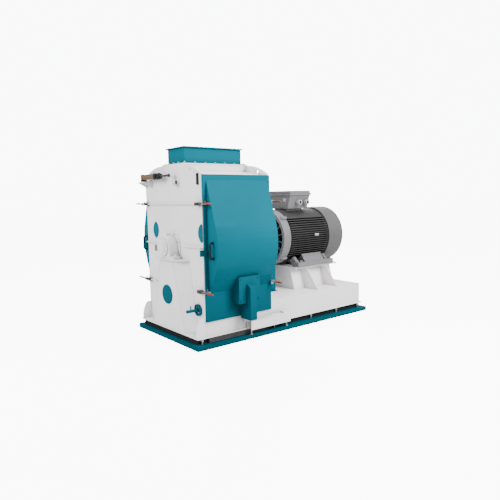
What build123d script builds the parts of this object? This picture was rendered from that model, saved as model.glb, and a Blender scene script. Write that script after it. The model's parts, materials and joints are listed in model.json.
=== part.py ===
from build123d import *
import math
import os

# Hammer mill for grain, direct-driven by a foot-mounted motor on one base.
# Millimetres. Origin: centre of the base frame's footprint, on the floor.
# +X runs along the rotor shaft from the mill towards the motor, +Z is up.

# ---- driving dimensions -------------------------------------------------
FRAME_LENGTH = 2550
FRAME_WIDTH = 1260
FRAME_HEIGHT = 47
RAIL_WIDTH = 100
ANCHOR_X = 1180
ANCHOR_Y = 600
ANCHOR_R = 9

BASE_BOTTOM = 101
BASE_TOP = 115
BASE_HALF_WIDTH = 590
BASE_FRONT = -1250

SHAFT_Z = 975
SHAFT_R = 50

WALL_FRONT = -1143
WALL_REAR = -300
WALL_THICK = 20
WALL_HALF = 567
SHOULDER_Z = 1712
HEAD_HALF = 215
HEAD_Z = 1815
HEAD_THICK = 12
LIFT_HOLE_R = 22

DOOR_LEFT = -1137
DOOR_RIGHT = -300
DOOR_BOTTOM = 260
DOOR_TOP = 1697
DOOR_THICK = 20
DOOR_TRAVEL = 450
BULGE_INSET = 36
BULGE_TOP = 1664
BULGE_BOTTOM = 532
BULGE_CORNER = (815, 918)
BULGE_RADIUS = 670
SKIN = 6

SPOUT_TOP = 2000
SPOUT_X = (-1074, -352)
SPOUT_HALF = 169
SPOUT_LIP_X = (-1092, -338)
SPOUT_LIP_HALF = 189
SPOUT_WALL = 6

DISC_R = 320
PIN_CIRCLE = 260
PIN_R = 13
HAMMER_REACH = 170
HAMMER_WIDTH = 60
HAMMER_THICK = 8
SCREEN_R = 455

MOTOR_FRONT = 250
MOTOR_REAR = 890
COWL_REAR = 1165
FIN_R = 345
CORE_R = 300
FIN_PITCH = 26
FIN_THICK = 7
FIN_COUNT = 17
SHIELD_R = 333
COWL_R = 352
FOOT_Z = 620
BEAM_TOP = 348
BEAM_HALF = 560
BEAM_END = 1220

RAIL_X = (-640, -85)
RAIL_TOP = 205
RAIL_OUT = 660
POST_X = (-723, -643)
POST_Y = (700, 760)

CLAMP_Z = (1416, 562)
FLAP_Y = -130
FLAP_Z = 1635
LEVER_REACH = 86.5
LEVER_ANGLE = 57.6
CYLINDER_X = -1216
CYLINDER_Z = 1708
PIN_GAP = 0.05

CHANNEL_WEB = 7
CHANNEL_FLANGE = 8
CROSS_BAR_X = (-290, 330, 760)
CROSS_BAR_HALF = 40
STRIP_X = (-1235, 1210)
STRIP_HALF = 556
STRIP_WIDTH = 25
BASE_BOLT_Y = 575
BASE_BOLT_R = 8
BASE_BOLT_HEAD = (15, 22)
SLEEVE_X = (-1105, -345)
SLEEVE_HALF = 578
SLEEVE_WALL = 8
SLEEVE_RIB = 7
SLEEVE_PITCH = 13.3
PLATE = 12
SHOULDER_BOW = (420, 34)
LIFT_HOLE_Y = 409
LIFT_HOLE_Z = 1742
SHAFT_CLEAR = 12
RIB_DEPTH = 26
RIB_HALF = 6
RIB_REACH = 498
LOW_RIB_START = 368
MID_RIB_Y = (215, 560)
MID_RIB_Z = (985, 997)
BEAM_COVER = 14
BEAM_LIP = 10
PEDESTAL_TOP = 20
PEDESTAL_OVERHANG = 20
PEDESTAL_HALF = 330
WEB_HALF = (217, 292)
GUSSET_HALF = (320, 510)
GUSSET_X = (510, 850)
COVER_Z = 472
COVER_R = 102
SEAT_THICK = 12
SEAT_FRONT = -1275
SEAT_CORNER = (-1235, 248)
SEAT_HALF = 330
BEARING_R = 85
HOUSING_R = 118
HOUSING_FOOT_HALF = 172
HOUSING_BOLT_Y = 148
BEARING_X = (-1211, -235)

BASE_BOLTS = [(x, y) for x in (-1190, -250, 320, 760, 1160) for y in (-530, 530)]
DISCHARGE_X = (-1100, -350)
DISCHARGE_HALF = 500
PEDESTAL_X = (330, 1050)
SPOUT_FOOT = HEAD_Z + HEAD_THICK
LIP_THICK = 12
INLET_HOLE_R = 6
INLET_BOLT_Y = 194
STAND_FRONT = -1235
STAND_TOP = 840
CHAMBER_X = (WALL_FRONT + WALL_THICK, WALL_REAR - WALL_THICK)
DISC_START = -1085
DISC_COUNT = 8
COUPLING_PIN_R = 12
MOTOR_BEARING_R = 90
FOOT_BOLT_X = (425, 925)
GLAND_X = (512, 640)
GLAND_Z = 1396
GLAND_R = 27
GLAND_BORE = 14
BOX_X = (-820, -550)
BOX_Z = (410, 680)
CLAMP_PIVOT = (-1175, -572)
HOOK_X = (-290, -278)
HOOK_PIVOT_Y = -612
KEEPER_Y = -530
SPINDLE_Y = -462
SPINDLE_Z = 368
SPINDLE_R = 16
HANDLE_R = 6
HANDLE_START = -639
FRONT_HANDLE_END = -768
REAR_HANDLE_END = -745
SHIELD_FRONT = 140
SHIELD_BORE = 296
SHIELD_PLATE_X = (205, 225)
SHIELD_RIB_FRONT = 172
SHIELD_HUB_R = 120
SHIELD_RIBS = 16
COWL_ROUND = 34
COWL_SKIN = 4
COWL_INLET_R = 250
COWL_BAR_PITCH = 50
COWL_BAR_HALF = 5
BOX_END_X = (365, 700)
BOX_FOOT = (150, 1318)
BOX_RIM = (200, 1481)
BOX_WALL = 6
BOX_FLOOR = 8
GUARD_X = (-158, 128)
GUARD_R = 180
GUARD_SKIN = 4
GUARD_HOLE_R = 98
CARRIAGE_PLATE = 8
WEB_PLATE = 10
POST_BOTTOM = 236
RAIL_SKIN = 8
RAIL_COVER = 10

ROOF_LOW = (560, 1682)
ROOF_HIGH = (205, 1737)
ROOF_SKIN = 10
NECK_WALL = 8
CURB_Z = (1672, 1694)
HEAD_X = (-1129, -295)
HEAD_OPENING_X = (-1060, -365)
HEAD_OPENING_HALF = 160
SPOUT_BOLT_START = -1090
SPOUT_BOLT_PITCH = 125.5
SPOUT_BOLT_COUNT = 7
SPOUT_END_BOLT_X = (-1100, -326)
SPOUT_END_BOLT_Y = 95
SPOUT_FOOT_X = (-1112, -314)
SPOUT_FOOT_HALF = 206
SPOUT_FOOT_THICK = 8
SPOUT_BOLT_HEAD = (9, 8)
INLET_HOLE_X = (-1083, -347)
INLET_HOLE_Y = 179
REAR_STAND_HALF = (250, 170)
REAR_STAND_DEPTH = 112
REAR_SEAT = (122, 200)
CAP_R = 96
CAP_FRONT = -1280
CAP_NOSE = (-1288, 60)
CAP_BOLT_CIRCLE = 80
INNER_CAP_X = (-181, -173)
INNER_CAP_R = 100
EYE_Z = 1132
EYE_HALF_HEIGHT = 92
EYE = (366, 60)
EDGE_EYE = (-548, 55)
EYE_SKIN = 5
NAME_PLATE_Y = (360, 420)
NAME_PLATE_Z = (895, 965)
SWITCH_Y = (-527, -503)
SWITCH_Z = (1600, 1710)
SWITCH_DEPTH = 16
SCREEN_SKIN = 4
SCREEN_SPAN = (-84, 55)
SCREEN_RIM = 22
SCREEN_RIM_WIDTH = 12
BREAKER_SPAN = (57, 68)
BREAKER_THICK = 16
ROTOR_SHAFT_X = (-1258, -32)
ROTOR_SEAT_X = (-1108, -335)
ROTOR_SEAT_R = 62
DISC_THICK = 12
DISC_PITCH = 91
DISC_SPOTS = [DISC_START + DISC_PITCH * i for i in range(DISC_COUNT)]
SPACER_R = 82
HAMMER_SHIFT = (48, 22)
HUB_R = 90
HUB_FLANGE_R = 155
COUPLING_CIRCLE = 125
COUPLING_PIN_X = (-70, 10)
MOTOR_SHAFT_X = (-28, 1010)
MOTOR_CORE_X = (330, 800)
MOTOR_CORE_R = 185
STATOR_X = (300, 830)
STATOR_R = (280, 190)
FAN_X = (930, 1000)
FAN_R = 290
FAN_HUB_R = 70
FAN_SKIN = 6
CROWN_R = 336
CROWN_Z = 1203
KEEL_R = 325
KEEL_HALF = 150
KEEL_Z = 760
FAN_SHIELD_R = 318
FOOT_X = (343, 955)
FOOT_Y = (-355, -262)
FOOT_TOP = FOOT_Z + 58
FOOT_ROOT_Y = -150
FOOT_PAD_X = (470, 800)
FOOT_PAD_TOP = (-255, 795)
FOOT_END_TOP = (-262, 740)
FOOT_ENDS = ((343, 385), (840, 885))
FOOT_BOLT_Y = 318
FOOT_BOLT_HEAD = (19, 18)
LID_X = (353, 710)
LID_HALF = 212
LID_STEP = 10
LID_Z = (1481, 1500, 1536)
LID_PIN = (-180, 1506, 7)
NECK_X = (385, 640)
NECK_HALF = 110
NECK_Z = 1270
DOOR_HANDLE_X = -1141
DOOR_HANDLE_Y = -680
DOOR_HANDLE_Z = (893, 1043)
DOOR_HANDLE_R = 10
TAB_X = -1197
TAB_Z = (912, 974)
TAB_THICK = 8
TAB_BOLT_X = -1118
TAB_BOLT_Z = (930, 956)
CLAMP_PIN_R = 5
CLAMP_BLOCK_Y = (-548, -500)
CLAMP_LEVER_HALF = 7
CLAMP_GRIP_Y = -640
HOOK_BLOCK_X = (-332, -302)
HOOK_PIN_R = 6
FLAP_SHAFT_X = (-1212, -324)
FLAP_SHAFT_R = 17
FLAP_PLATE_X = (-1050, -375)
FLAP_PLATE_EDGE = 135
BUSH_R = 24
BUSH_COLLAR = (14, 38)
LEVER_X = (-1205, -1193)
LEVER_SLOT = (70, 96)
LEVER_SLOT_R = 9
LEVER_END = 104
LEVER_HALF = 16
LEVER_HUB_R = 30
SHELF_FRONT = -1252
SHELF_Y = (405, 545)
SHELF_Z = (1650, 1660)
SHELF_RAMP_Z = 1590
SHELF_WEB = 10
CYLINDER_Y = (200, 455)
CYLINDER_R = 31
CYLINDER_BORE = 26
CYLINDER_CAP = 35
CYLINDER_FRONT_CAP = 150
CYLINDER_END = 482
VALVE_Y = (96, 150)
ROD_R = 10
SPINDLE_END = -1288
RING_X = (-1166, -1152)
RING_R = (60, 40)
PEG_X = -1240
PEG_LENGTH = 50
PEG_R = 7

nodes = {}


# ---- small helpers ------------------------------------------------------
def block(x0, x1, y0, y1, z0, z1):
    size = (abs(x1 - x0), abs(y1 - y0), abs(z1 - z0))
    return Pos((x0 + x1) / 2, (y0 + y1) / 2, (z0 + z1) / 2) * Box(*size)


def rod_x(x0, x1, y, z, r):
    return Pos((x0 + x1) / 2, y, z) * Rot(0, 90, 0) * Cylinder(r, x1 - x0)


def rod_y(x, y0, y1, z, r):
    return Pos(x, (y0 + y1) / 2, z) * Rot(90, 0, 0) * Cylinder(r, abs(y1 - y0))


def rod_z(x, y, z0, z1, r):
    return Pos(x, y, (z0 + z1) / 2) * Cylinder(r, z1 - z0)


def tube_x(x0, x1, z, r_out, r_in, y=0):
    return rod_x(x0, x1, y, z, r_out) - rod_x(x0 - 1, x1 + 1, y, z, r_in)


def section_x(wires, x0, x1):
    """Closed outline in (Y, Z) carried from x0 to x1."""
    plane = Plane(origin=(x0, 0, 0), x_dir=(0, 1, 0), z_dir=(1, 0, 0))
    return extrude(plane * make_face(wires), amount=x1 - x0)


def panel_x(points, x0, x1):
    return section_x(Polyline(*points, close=True), x0, x1)


def panel_y(points, y0, y1):
    """Closed outline in (X, Z) carried from y0 to y1."""
    plane = Plane(origin=(0, y0, 0), x_dir=(1, 0, 0), z_dir=(0, -1, 0))
    return extrude(plane * make_face(Polyline(*points, close=True)), amount=y0 - y1)


def far_side(shape):
    return mirror(shape, about=Plane.XZ)


def both_sides(shape):
    return shape + far_side(shape)


def hex_x(x0, x1, y, z, r):
    return Pos(x0, y, z) * Rot(0, 90, 0) * extrude(RegularPolygon(r, 6), amount=x1 - x0)


def hex_z(x, y, z0, z1, r):
    return Pos(x, y, z0) * extrude(RegularPolygon(r, 6), amount=z1 - z0)


def hex_y(x, y, z, r, length):
    return Pos(x, y, z) * Rot(90, 0, 0) * extrude(RegularPolygon(r, 6), amount=length)


def group(*shapes):
    """Separate solids kept in one node."""
    return Compound([solid for shape in shapes for solid in shape.solids()])


def on_circle(r, count, start=0.0):
    for i in range(count):
        angle = math.radians(start + 360 * i / count)
        yield r * math.cos(angle), r * math.sin(angle)


# ---- base ---------------------------------------------------------------
def base_side_rails():
    rail = block(-FRAME_LENGTH / 2, FRAME_LENGTH / 2, -FRAME_WIDTH / 2,
                 -FRAME_WIDTH / 2 + RAIL_WIDTH, 0, FRAME_HEIGHT)
    inner_end = FRAME_LENGTH / 2 - CHANNEL_WEB
    rail -= block(-inner_end, inner_end, -FRAME_WIDTH / 2 + CHANNEL_WEB,
                  -FRAME_WIDTH / 2 + RAIL_WIDTH + 1, CHANNEL_FLANGE, FRAME_HEIGHT - CHANNEL_FLANGE)
    for x in (-ANCHOR_X, ANCHOR_X):
        rail -= rod_z(x, -ANCHOR_Y, -1, FRAME_HEIGHT + 1, ANCHOR_R)
    return both_sides(rail)


def base_cross_rails():
    inner = FRAME_WIDTH / 2 - RAIL_WIDTH
    end = block(FRAME_LENGTH / 2 - RAIL_WIDTH, FRAME_LENGTH / 2, -inner, inner, 0, FRAME_HEIGHT)
    end -= block(FRAME_LENGTH / 2 - RAIL_WIDTH - 1, FRAME_LENGTH / 2 - CHANNEL_WEB, -inner - 1,
                 inner + 1, CHANNEL_FLANGE, FRAME_HEIGHT - CHANNEL_FLANGE)
    bars = end + mirror(end, about=Plane.YZ)
    for x in CROSS_BAR_X:
        bars += block(x - CROSS_BAR_HALF, x + CROSS_BAR_HALF, -inner, inner, 0, FRAME_HEIGHT)
    return bars


def isolator_strips():
    """Black rubber strips on the rails, all round but for the outlet's sides."""
    out, side = STRIP_HALF, STRIP_HALF - STRIP_WIDTH
    front, rear = STRIP_X[0] + STRIP_WIDTH, STRIP_X[1] - STRIP_WIDTH
    z0, z1 = FRAME_HEIGHT, BASE_BOTTOM
    strips = [block(STRIP_X[0], front, -out, out, z0, z1), block(rear, STRIP_X[1], -out, out, z0, z1)]
    for x0, x1 in ((front, SLEEVE_X[0] - 10), (SLEEVE_X[1] + 10, rear)):
        strips.append(both_sides(block(x0, x1, -out, -side, z0, z1)))
    return group(*strips)


def base_bolts():
    bolts = Part()
    for x, y in BASE_BOLTS:
        outer = math.copysign(BASE_BOLT_Y, y)
        bolts += rod_z(x, outer, FRAME_HEIGHT, BASE_BOTTOM, BASE_BOLT_R)
        bolts += hex_z(x, outer, BASE_BOTTOM - BASE_BOLT_HEAD[1], BASE_BOTTOM, BASE_BOLT_HEAD[0])
    return bolts


def discharge_sleeve():
    """Ribbed flexible sleeve between the mill's outlet and the base frame."""
    x0, x1 = SLEEVE_X
    half, rib, wall = SLEEVE_HALF, SLEEVE_RIB, SLEEVE_WALL
    sleeve = block(x0, x1, -half, half, FRAME_HEIGHT, BASE_BOTTOM)
    for level in range(4):
        z = FRAME_HEIGHT + SLEEVE_RIB + SLEEVE_PITCH * level
        sleeve += block(x0 - rib, x1 + rib, -half - rib, half + rib, z - 3, z + 3)
    return sleeve - block(x0 + wall, x1 - wall, -half + wall, half - wall, FRAME_HEIGHT - 1,
                          BASE_BOTTOM + 1)


def mill_base_plate():
    plate = block(BASE_FRONT, WALL_REAR, -BASE_HALF_WIDTH, BASE_HALF_WIDTH, BASE_BOTTOM, BASE_TOP)
    return plate - block(*DISCHARGE_X, -DISCHARGE_HALF, DISCHARGE_HALF, 90, 130)


def plinth_sides():
    side = block(WALL_FRONT + WALL_THICK, WALL_REAR - WALL_THICK, -WALL_HALF, -WALL_HALF + PLATE,
                 BASE_TOP, DOOR_BOTTOM - 2)
    return both_sides(side)


def corner_gussets():
    edge = Line((WALL_FRONT, BASE_TOP), (WALL_FRONT, 300))
    top = Line((WALL_FRONT, 300), (WALL_FRONT - 52, 300))
    bow = ThreePointArc((WALL_FRONT - 52, 300), (BASE_FRONT + 13, 222), (BASE_FRONT + 1, BASE_TOP))
    foot = Line((BASE_FRONT + 1, BASE_TOP), (WALL_FRONT, BASE_TOP))
    plane = Plane(origin=(0, -WALL_HALF, 0), x_dir=(1, 0, 0), z_dir=(0, -1, 0))
    plate = extrude(plane * make_face([edge, top, bow, foot]), amount=-PLATE)
    return both_sides(plate)


def motor_base_beam():
    beam = block(WALL_REAR, BEAM_END, -BEAM_HALF, BEAM_HALF, BASE_TOP, BEAM_TOP)
    beam += block(WALL_REAR, BEAM_END + BEAM_LIP, -BASE_HALF_WIDTH, BASE_HALF_WIDTH, BASE_BOTTOM, BASE_TOP)
    inner = BEAM_HALF - PLATE
    return beam - block(WALL_REAR + PLATE, BEAM_END - PLATE, -inner, inner, BASE_BOTTOM - 1,
                        BEAM_TOP - BEAM_COVER)


def motor_pedestal():
    """Welded stand: a top plate on two sloping webs, two ends and four gussets."""
    x0, x1 = PEDESTAL_X
    under, rear = FOOT_Z - PEDESTAL_TOP, x1 - PEDESTAL_OVERHANG
    high, low = WEB_HALF
    top = block(x0 - 5, x1, -PEDESTAL_HALF, PEDESTAL_HALF, under, FOOT_Z)
    web = [(-high + PLATE, under), (-high, under), (-low, BEAM_TOP), (-low + PLATE, BEAM_TOP)]
    webs = both_sides(panel_x(web, x0 + PLATE, rear - PLATE))
    end = [(-high, under), (high, under), (low, BEAM_TOP), (-low, BEAM_TOP)]
    ends = [panel_x(end, x, x + PLATE) for x in (x0, rear - PLATE)]
    gusset = [(-high, under), (-GUSSET_HALF[0], under), (-GUSSET_HALF[1], BEAM_TOP), (-low, BEAM_TOP)]
    gussets = [both_sides(panel_x(gusset, x, x + PLATE)) for x in GUSSET_X]
    return group(top, webs, *ends, *gussets)


# ---- mill housing -------------------------------------------------------
def end_outline(half, shoulder, top):
    """Wall outline: straight sides, bowed shoulders, flat head."""
    bow_y, drop = SHOULDER_BOW
    return [
        Line((-half, BASE_TOP), (-half, shoulder)),
        ThreePointArc((-half, shoulder), (-bow_y, top - drop), (-HEAD_HALF, top)),
        Line((-HEAD_HALF, top), (HEAD_HALF, top)),
        ThreePointArc((HEAD_HALF, top), (bow_y, top - drop), (half, shoulder)),
        Line((half, shoulder), (half, BASE_TOP)),
        Line((half, BASE_TOP), (-half, BASE_TOP)),
    ]


def end_wall(x0):
    wall = section_x(end_outline(WALL_HALF, SHOULDER_Z, HEAD_Z), x0, x0 + WALL_THICK)
    wall -= rod_x(x0 - 1, x0 + WALL_THICK + 1, 0, SHAFT_Z, SHAFT_R + SHAFT_CLEAR)
    for y in (-LIFT_HOLE_Y, LIFT_HOLE_Y):
        wall -= rod_x(x0 - 1, x0 + WALL_THICK + 1, y, LIFT_HOLE_Z, LIFT_HOLE_R)
    return wall


def wall_ribs():
    """Stiffening bars on the outside of the front wall."""
    x0, x1 = WALL_FRONT - RIB_DEPTH, WALL_FRONT
    high, low = CLAMP_Z
    ribs = block(x0, x1, -RIB_REACH, RIB_REACH, high - RIB_HALF, high + RIB_HALF)
    low_rib = block(x0, x1, LOW_RIB_START, RIB_REACH, low - RIB_HALF, low + RIB_HALF)
    mid_rib = block(x0, x1, *MID_RIB_Y, *MID_RIB_Z)
    return ribs + both_sides(low_rib) + both_sides(mid_rib)


def front_wall():
    wall = end_wall(WALL_FRONT)
    bush_hole = rod_x(WALL_FRONT - 1, WALL_FRONT + WALL_THICK + 1, FLAP_Y, FLAP_Z, BUSH_R)
    spindle_hole = rod_x(WALL_FRONT - 1, WALL_FRONT + WALL_THICK + 1, SPINDLE_Y, SPINDLE_Z,
                         SPINDLE_R + PIN_GAP)
    return wall + wall_ribs() - bush_hole - spindle_hole


def rear_wall():
    return end_wall(WALL_REAR - WALL_THICK)


def hood():
    x0, x1 = WALL_FRONT + WALL_THICK, WALL_REAR - WALL_THICK
    (low_y, low_z), (high_y, high_z) = ROOF_LOW, ROOF_HIGH
    roof = panel_x([(-low_y, low_z), (-low_y, low_z + ROOF_SKIN), (-high_y, high_z + ROOF_SKIN),
                    (-high_y, high_z)], x0, x1)
    neck = block(x0, x1, -high_y, -high_y + NECK_WALL, high_z, HEAD_Z)
    curb = block(x0, x1, -WALL_HALF, -WALL_HALF + PLATE, *CURB_Z)
    return both_sides(roof + neck + curb)


def head_flange():
    plate = block(*HEAD_X, -HEAD_HALF, HEAD_HALF, HEAD_Z, HEAD_Z + HEAD_THICK)
    return plate - block(*HEAD_OPENING_X, -HEAD_OPENING_HALF, HEAD_OPENING_HALF, HEAD_Z - 1,
                         HEAD_Z + HEAD_THICK + 1)


def spout_bolt_spots():
    spots = []
    for i in range(SPOUT_BOLT_COUNT):
        x = SPOUT_BOLT_START + SPOUT_BOLT_PITCH * i
        spots += [(x, -INLET_BOLT_Y), (x, INLET_BOLT_Y)]
    for y in (-SPOUT_END_BOLT_Y, 0, SPOUT_END_BOLT_Y):
        spots += [(x, y) for x in SPOUT_END_BOLT_X]
    return spots


def inlet_spout():
    x0, x1 = SPOUT_X
    box = block(x0, x1, -SPOUT_HALF, SPOUT_HALF, SPOUT_FOOT, SPOUT_TOP)
    box += block(*SPOUT_FOOT_X, -SPOUT_FOOT_HALF, SPOUT_FOOT_HALF, SPOUT_FOOT,
                 SPOUT_FOOT + SPOUT_FOOT_THICK)
    box += block(*SPOUT_LIP_X, -SPOUT_LIP_HALF, SPOUT_LIP_HALF, SPOUT_TOP - LIP_THICK, SPOUT_TOP)
    box -= block(x0 + SPOUT_WALL, x1 - SPOUT_WALL, -SPOUT_HALF + SPOUT_WALL, SPOUT_HALF - SPOUT_WALL,
                 SPOUT_FOOT - 1, SPOUT_TOP + 1)
    for x in INLET_HOLE_X:
        for y in (-INLET_HOLE_Y, INLET_HOLE_Y):
            box -= rod_z(x, y, SPOUT_TOP - LIP_THICK - 1, SPOUT_TOP + 1, INLET_HOLE_R)
    return box


def inlet_bolts():
    bolts = Part()
    size, height = SPOUT_BOLT_HEAD
    under = SPOUT_FOOT + SPOUT_FOOT_THICK
    for x, y in spout_bolt_spots():
        bolts += hex_z(x, y, under, under + height, size)
    return bolts


# ---- bearing stands -----------------------------------------------------
def quad_face(x, half_bottom, half_top, z0, z1):
    plane = Plane(origin=(x, 0, 0), x_dir=(0, 1, 0), z_dir=(1, 0, 0))
    return plane * make_face(Polyline((-half_bottom, z0), (half_bottom, z0), (half_top, z1),
                                      (-half_top, z1), close=True))


def front_bearing_stand():
    """Hollow stand with a bowed seat plate and a round cover hole."""
    outer = loft([quad_face(STAND_FRONT, 330, 120, BASE_TOP, STAND_TOP),
                  quad_face(WALL_FRONT, 450, 300, BASE_TOP, STAND_TOP)])
    inner = loft([quad_face(STAND_FRONT + 10, 318, 108, BASE_TOP - 1, STAND_TOP - PLATE),
                  quad_face(WALL_FRONT + 1, 438, 288, BASE_TOP - 1, STAND_TOP - PLATE)])
    x, y = SEAT_CORNER
    seat = make_face([
        Line((WALL_FRONT, SEAT_HALF), (x, y)),
        ThreePointArc((x, y), (SEAT_FRONT, 0), (x, -y)),
        Line((x, -y), (WALL_FRONT, -SEAT_HALF)),
        Line((WALL_FRONT, -SEAT_HALF), (WALL_FRONT, SEAT_HALF)),
    ])
    stand = outer - inner + extrude(Plane.XY.offset(STAND_TOP) * seat, amount=SEAT_THICK)
    return stand - rod_x(STAND_FRONT - 2, STAND_FRONT + 12, 0, COVER_Z, 80)


def rear_bearing_stand():
    low, high = REAR_STAND_HALF
    body = panel_x([(-low, BEAM_TOP), (low, BEAM_TOP), (high, STAND_TOP), (-high, STAND_TOP)],
                   WALL_REAR, WALL_REAR + REAR_STAND_DEPTH)
    low, high, under = low - PLATE - 2, high - PLATE, STAND_TOP - PLATE
    body -= panel_x([(-low, BEAM_TOP - 1), (low, BEAM_TOP - 1), (high, under), (-high, under)],
                    WALL_REAR - 1, WALL_REAR + REAR_STAND_DEPTH - 10)
    depth, half = REAR_SEAT
    return body + block(WALL_REAR, WALL_REAR + depth, -half, half, STAND_TOP, STAND_TOP + SEAT_THICK)


def bearing_housing(x0, x1):
    seat = STAND_TOP + SEAT_THICK
    body = rod_x(x0, x1, 0, SHAFT_Z, HOUSING_R)
    body += block(x0, x1, -HOUSING_R, HOUSING_R, seat, SHAFT_Z)
    body += block(x0 + 6, x1 - 6, -HOUSING_FOOT_HALF, HOUSING_FOOT_HALF, seat, seat + 32)
    for y in (-HOUSING_BOLT_Y, HOUSING_BOLT_Y):
        mid = (x0 + x1) / 2
        body += rod_z(mid, y, seat + 32, seat + 38, 20)
        body += hex_z(mid, y, seat + 38, seat + 52, 17)
    return body - rod_x(x0 - 1, x1 + 1, 0, SHAFT_Z, BEARING_R)


def rotor_bearings():
    rings = Part()
    for x in BEARING_X:
        rings += tube_x(x - 32, x + 32, SHAFT_Z, BEARING_R, SHAFT_R + PIN_GAP)
    return rings


def bearing_caps():
    nose, nose_r = CAP_NOSE
    closed = rod_x(CAP_FRONT, CAP_FRONT + 18, 0, SHAFT_Z, CAP_R)
    closed += rod_x(nose, CAP_FRONT, 0, SHAFT_Z, nose_r)
    for y, z in on_circle(CAP_BOLT_CIRCLE, 6, 30):
        closed += hex_x(CAP_FRONT - 6, CAP_FRONT, y, SHAFT_Z + z, 8)
    inner = tube_x(*INNER_CAP_X, SHAFT_Z, INNER_CAP_R, SHAFT_R + 1)
    return closed + inner


def stand_cover():
    disc = rod_x(STAND_FRONT - 8, STAND_FRONT, 0, COVER_Z, COVER_R)
    for y, z in on_circle(COVER_R - 16, 6, 0):
        disc += rod_x(STAND_FRONT - 11, STAND_FRONT - 8, y, COVER_Z + z, 6)
    return disc


def lens_outline(y, z, half_width, half_height):
    top, bottom = (y, z + half_height), (y, z - half_height)
    return [ThreePointArc(top, (y + half_width, z), bottom),
            ThreePointArc(bottom, (y - half_width, z), top)]


def eye_covers():
    face = WALL_FRONT - EYE_SKIN
    covers = section_x(lens_outline(EYE[0], EYE_Z, EYE[1], EYE_HALF_HEIGHT), face, WALL_FRONT)
    edge = section_x(lens_outline(EDGE_EYE[0], EYE_Z, EDGE_EYE[1], EYE_HALF_HEIGHT), face, WALL_FRONT)
    beyond = block(face - 1, WALL_FRONT + 1, -WALL_HALF - EDGE_EYE[1], -WALL_HALF,
                   EYE_Z - EYE_HALF_HEIGHT, EYE_Z + EYE_HALF_HEIGHT)
    return covers + (edge - beyond)


def name_plate():
    return block(WALL_FRONT - 2, WALL_FRONT, *NAME_PLATE_Y, *NAME_PLATE_Z)


def door_switch():
    return block(WALL_FRONT - SWITCH_DEPTH, WALL_FRONT, *SWITCH_Y, *SWITCH_Z)


# ---- grinding chamber ---------------------------------------------------
def arc_band(r, thick, start, stop, x0, x1):
    a0, a1 = math.radians(start), math.radians(stop)
    mid = (a0 + a1) / 2

    def spot(radius, angle):
        return (radius * math.cos(angle), SHAFT_Z + radius * math.sin(angle))

    wires = [
        ThreePointArc(spot(r, a0), spot(r, mid), spot(r, a1)),
        Line(spot(r, a1), spot(r + thick, a1)),
        ThreePointArc(spot(r + thick, a1), spot(r + thick, mid), spot(r + thick, a0)),
        Line(spot(r + thick, a0), spot(r, a0)),
    ]
    return section_x(wires, x0, x1)


def screens():
    x0, x1 = CHAMBER_X
    return both_sides(arc_band(SCREEN_R, SCREEN_SKIN, *SCREEN_SPAN, x0, x1))


def screen_frames():
    frames = Part()
    x0, x1 = CHAMBER_X
    width = SCREEN_RIM_WIDTH
    for x in (x0, (x0 + x1 - width) / 2, x1 - width):
        frames += both_sides(arc_band(SCREEN_R + SCREEN_SKIN, SCREEN_RIM, *SCREEN_SPAN, x, x + width))
    return frames


def breaker_plates():
    x0, x1 = CHAMBER_X
    return both_sides(arc_band(SCREEN_R, BREAKER_THICK, *BREAKER_SPAN, x0, x1))


# ---- rotor --------------------------------------------------------------
def rotor_shaft():
    shaft = rod_x(*ROTOR_SHAFT_X, 0, SHAFT_Z, SHAFT_R)
    shaft += rod_x(*ROTOR_SEAT_X, 0, SHAFT_Z, ROTOR_SEAT_R)
    return shaft


def rotor_discs():
    discs = Part()
    for x in DISC_SPOTS:
        disc = tube_x(x, x + DISC_THICK, SHAFT_Z, DISC_R, ROTOR_SEAT_R)
        for y, z in on_circle(PIN_CIRCLE, 4, 45):
            disc -= rod_x(x - 1, x + DISC_THICK + 1, y, SHAFT_Z + z, PIN_R)
        discs += disc
    return discs


def disc_spacers():
    spacers = Part()
    for x in DISC_SPOTS[:-1]:
        spacers += tube_x(x + DISC_THICK, x + DISC_PITCH, SHAFT_Z, SPACER_R, ROTOR_SEAT_R)
    return spacers


def hammer_pins():
    pins = Part()
    for y, z in on_circle(PIN_CIRCLE, 4, 45):
        pins += rod_x(DISC_SPOTS[0] - 6, DISC_SPOTS[-1] + 18, y, SHAFT_Z + z, PIN_R)
    return pins


def hammer_row(index):
    """One row of swing hammers, hanging straight down from its pin."""
    angle = math.radians(45 + 90 * index)
    y, z = PIN_CIRCLE * math.cos(angle), SHAFT_Z + PIN_CIRCLE * math.sin(angle)
    row = Part()
    for x in DISC_SPOTS[:-1]:
        left = x + HAMMER_SHIFT[index % 2]
        bar = block(left, left + HAMMER_THICK, y - HAMMER_WIDTH / 2, y + HAMMER_WIDTH / 2,
                    z - HAMMER_REACH, z)
        bar += rod_x(left, left + HAMMER_THICK, y, z, HAMMER_WIDTH / 2)
        row += bar - rod_x(left - 1, left + HAMMER_THICK + 1, y, z, PIN_R + PIN_GAP)
    return row


def coupling_hubs():
    front, rear = COUPLING_PIN_X
    hubs = tube_x(front - 72, front, SHAFT_Z, HUB_R, SHAFT_R)
    hubs += tube_x(front, front + 36, SHAFT_Z, HUB_FLANGE_R, SHAFT_R)
    hubs += tube_x(rear - 36, rear, SHAFT_Z, HUB_FLANGE_R, SHAFT_R)
    hubs += tube_x(rear, rear + 72, SHAFT_Z, HUB_R, SHAFT_R)
    for y, z in on_circle(COUPLING_CIRCLE, 8):
        hubs -= rod_x(front - 1, rear + 1, y, SHAFT_Z + z, COUPLING_PIN_R)
    return hubs


def coupling_pins():
    pins = Part()
    front, rear = COUPLING_PIN_X
    for y, z in on_circle(COUPLING_CIRCLE, 8):
        pins += rod_x(front, rear, y, SHAFT_Z + z, COUPLING_PIN_R)
        pins += hex_x(front - 10, front, y, SHAFT_Z + z, COUPLING_PIN_R + 3)
    return pins


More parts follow.
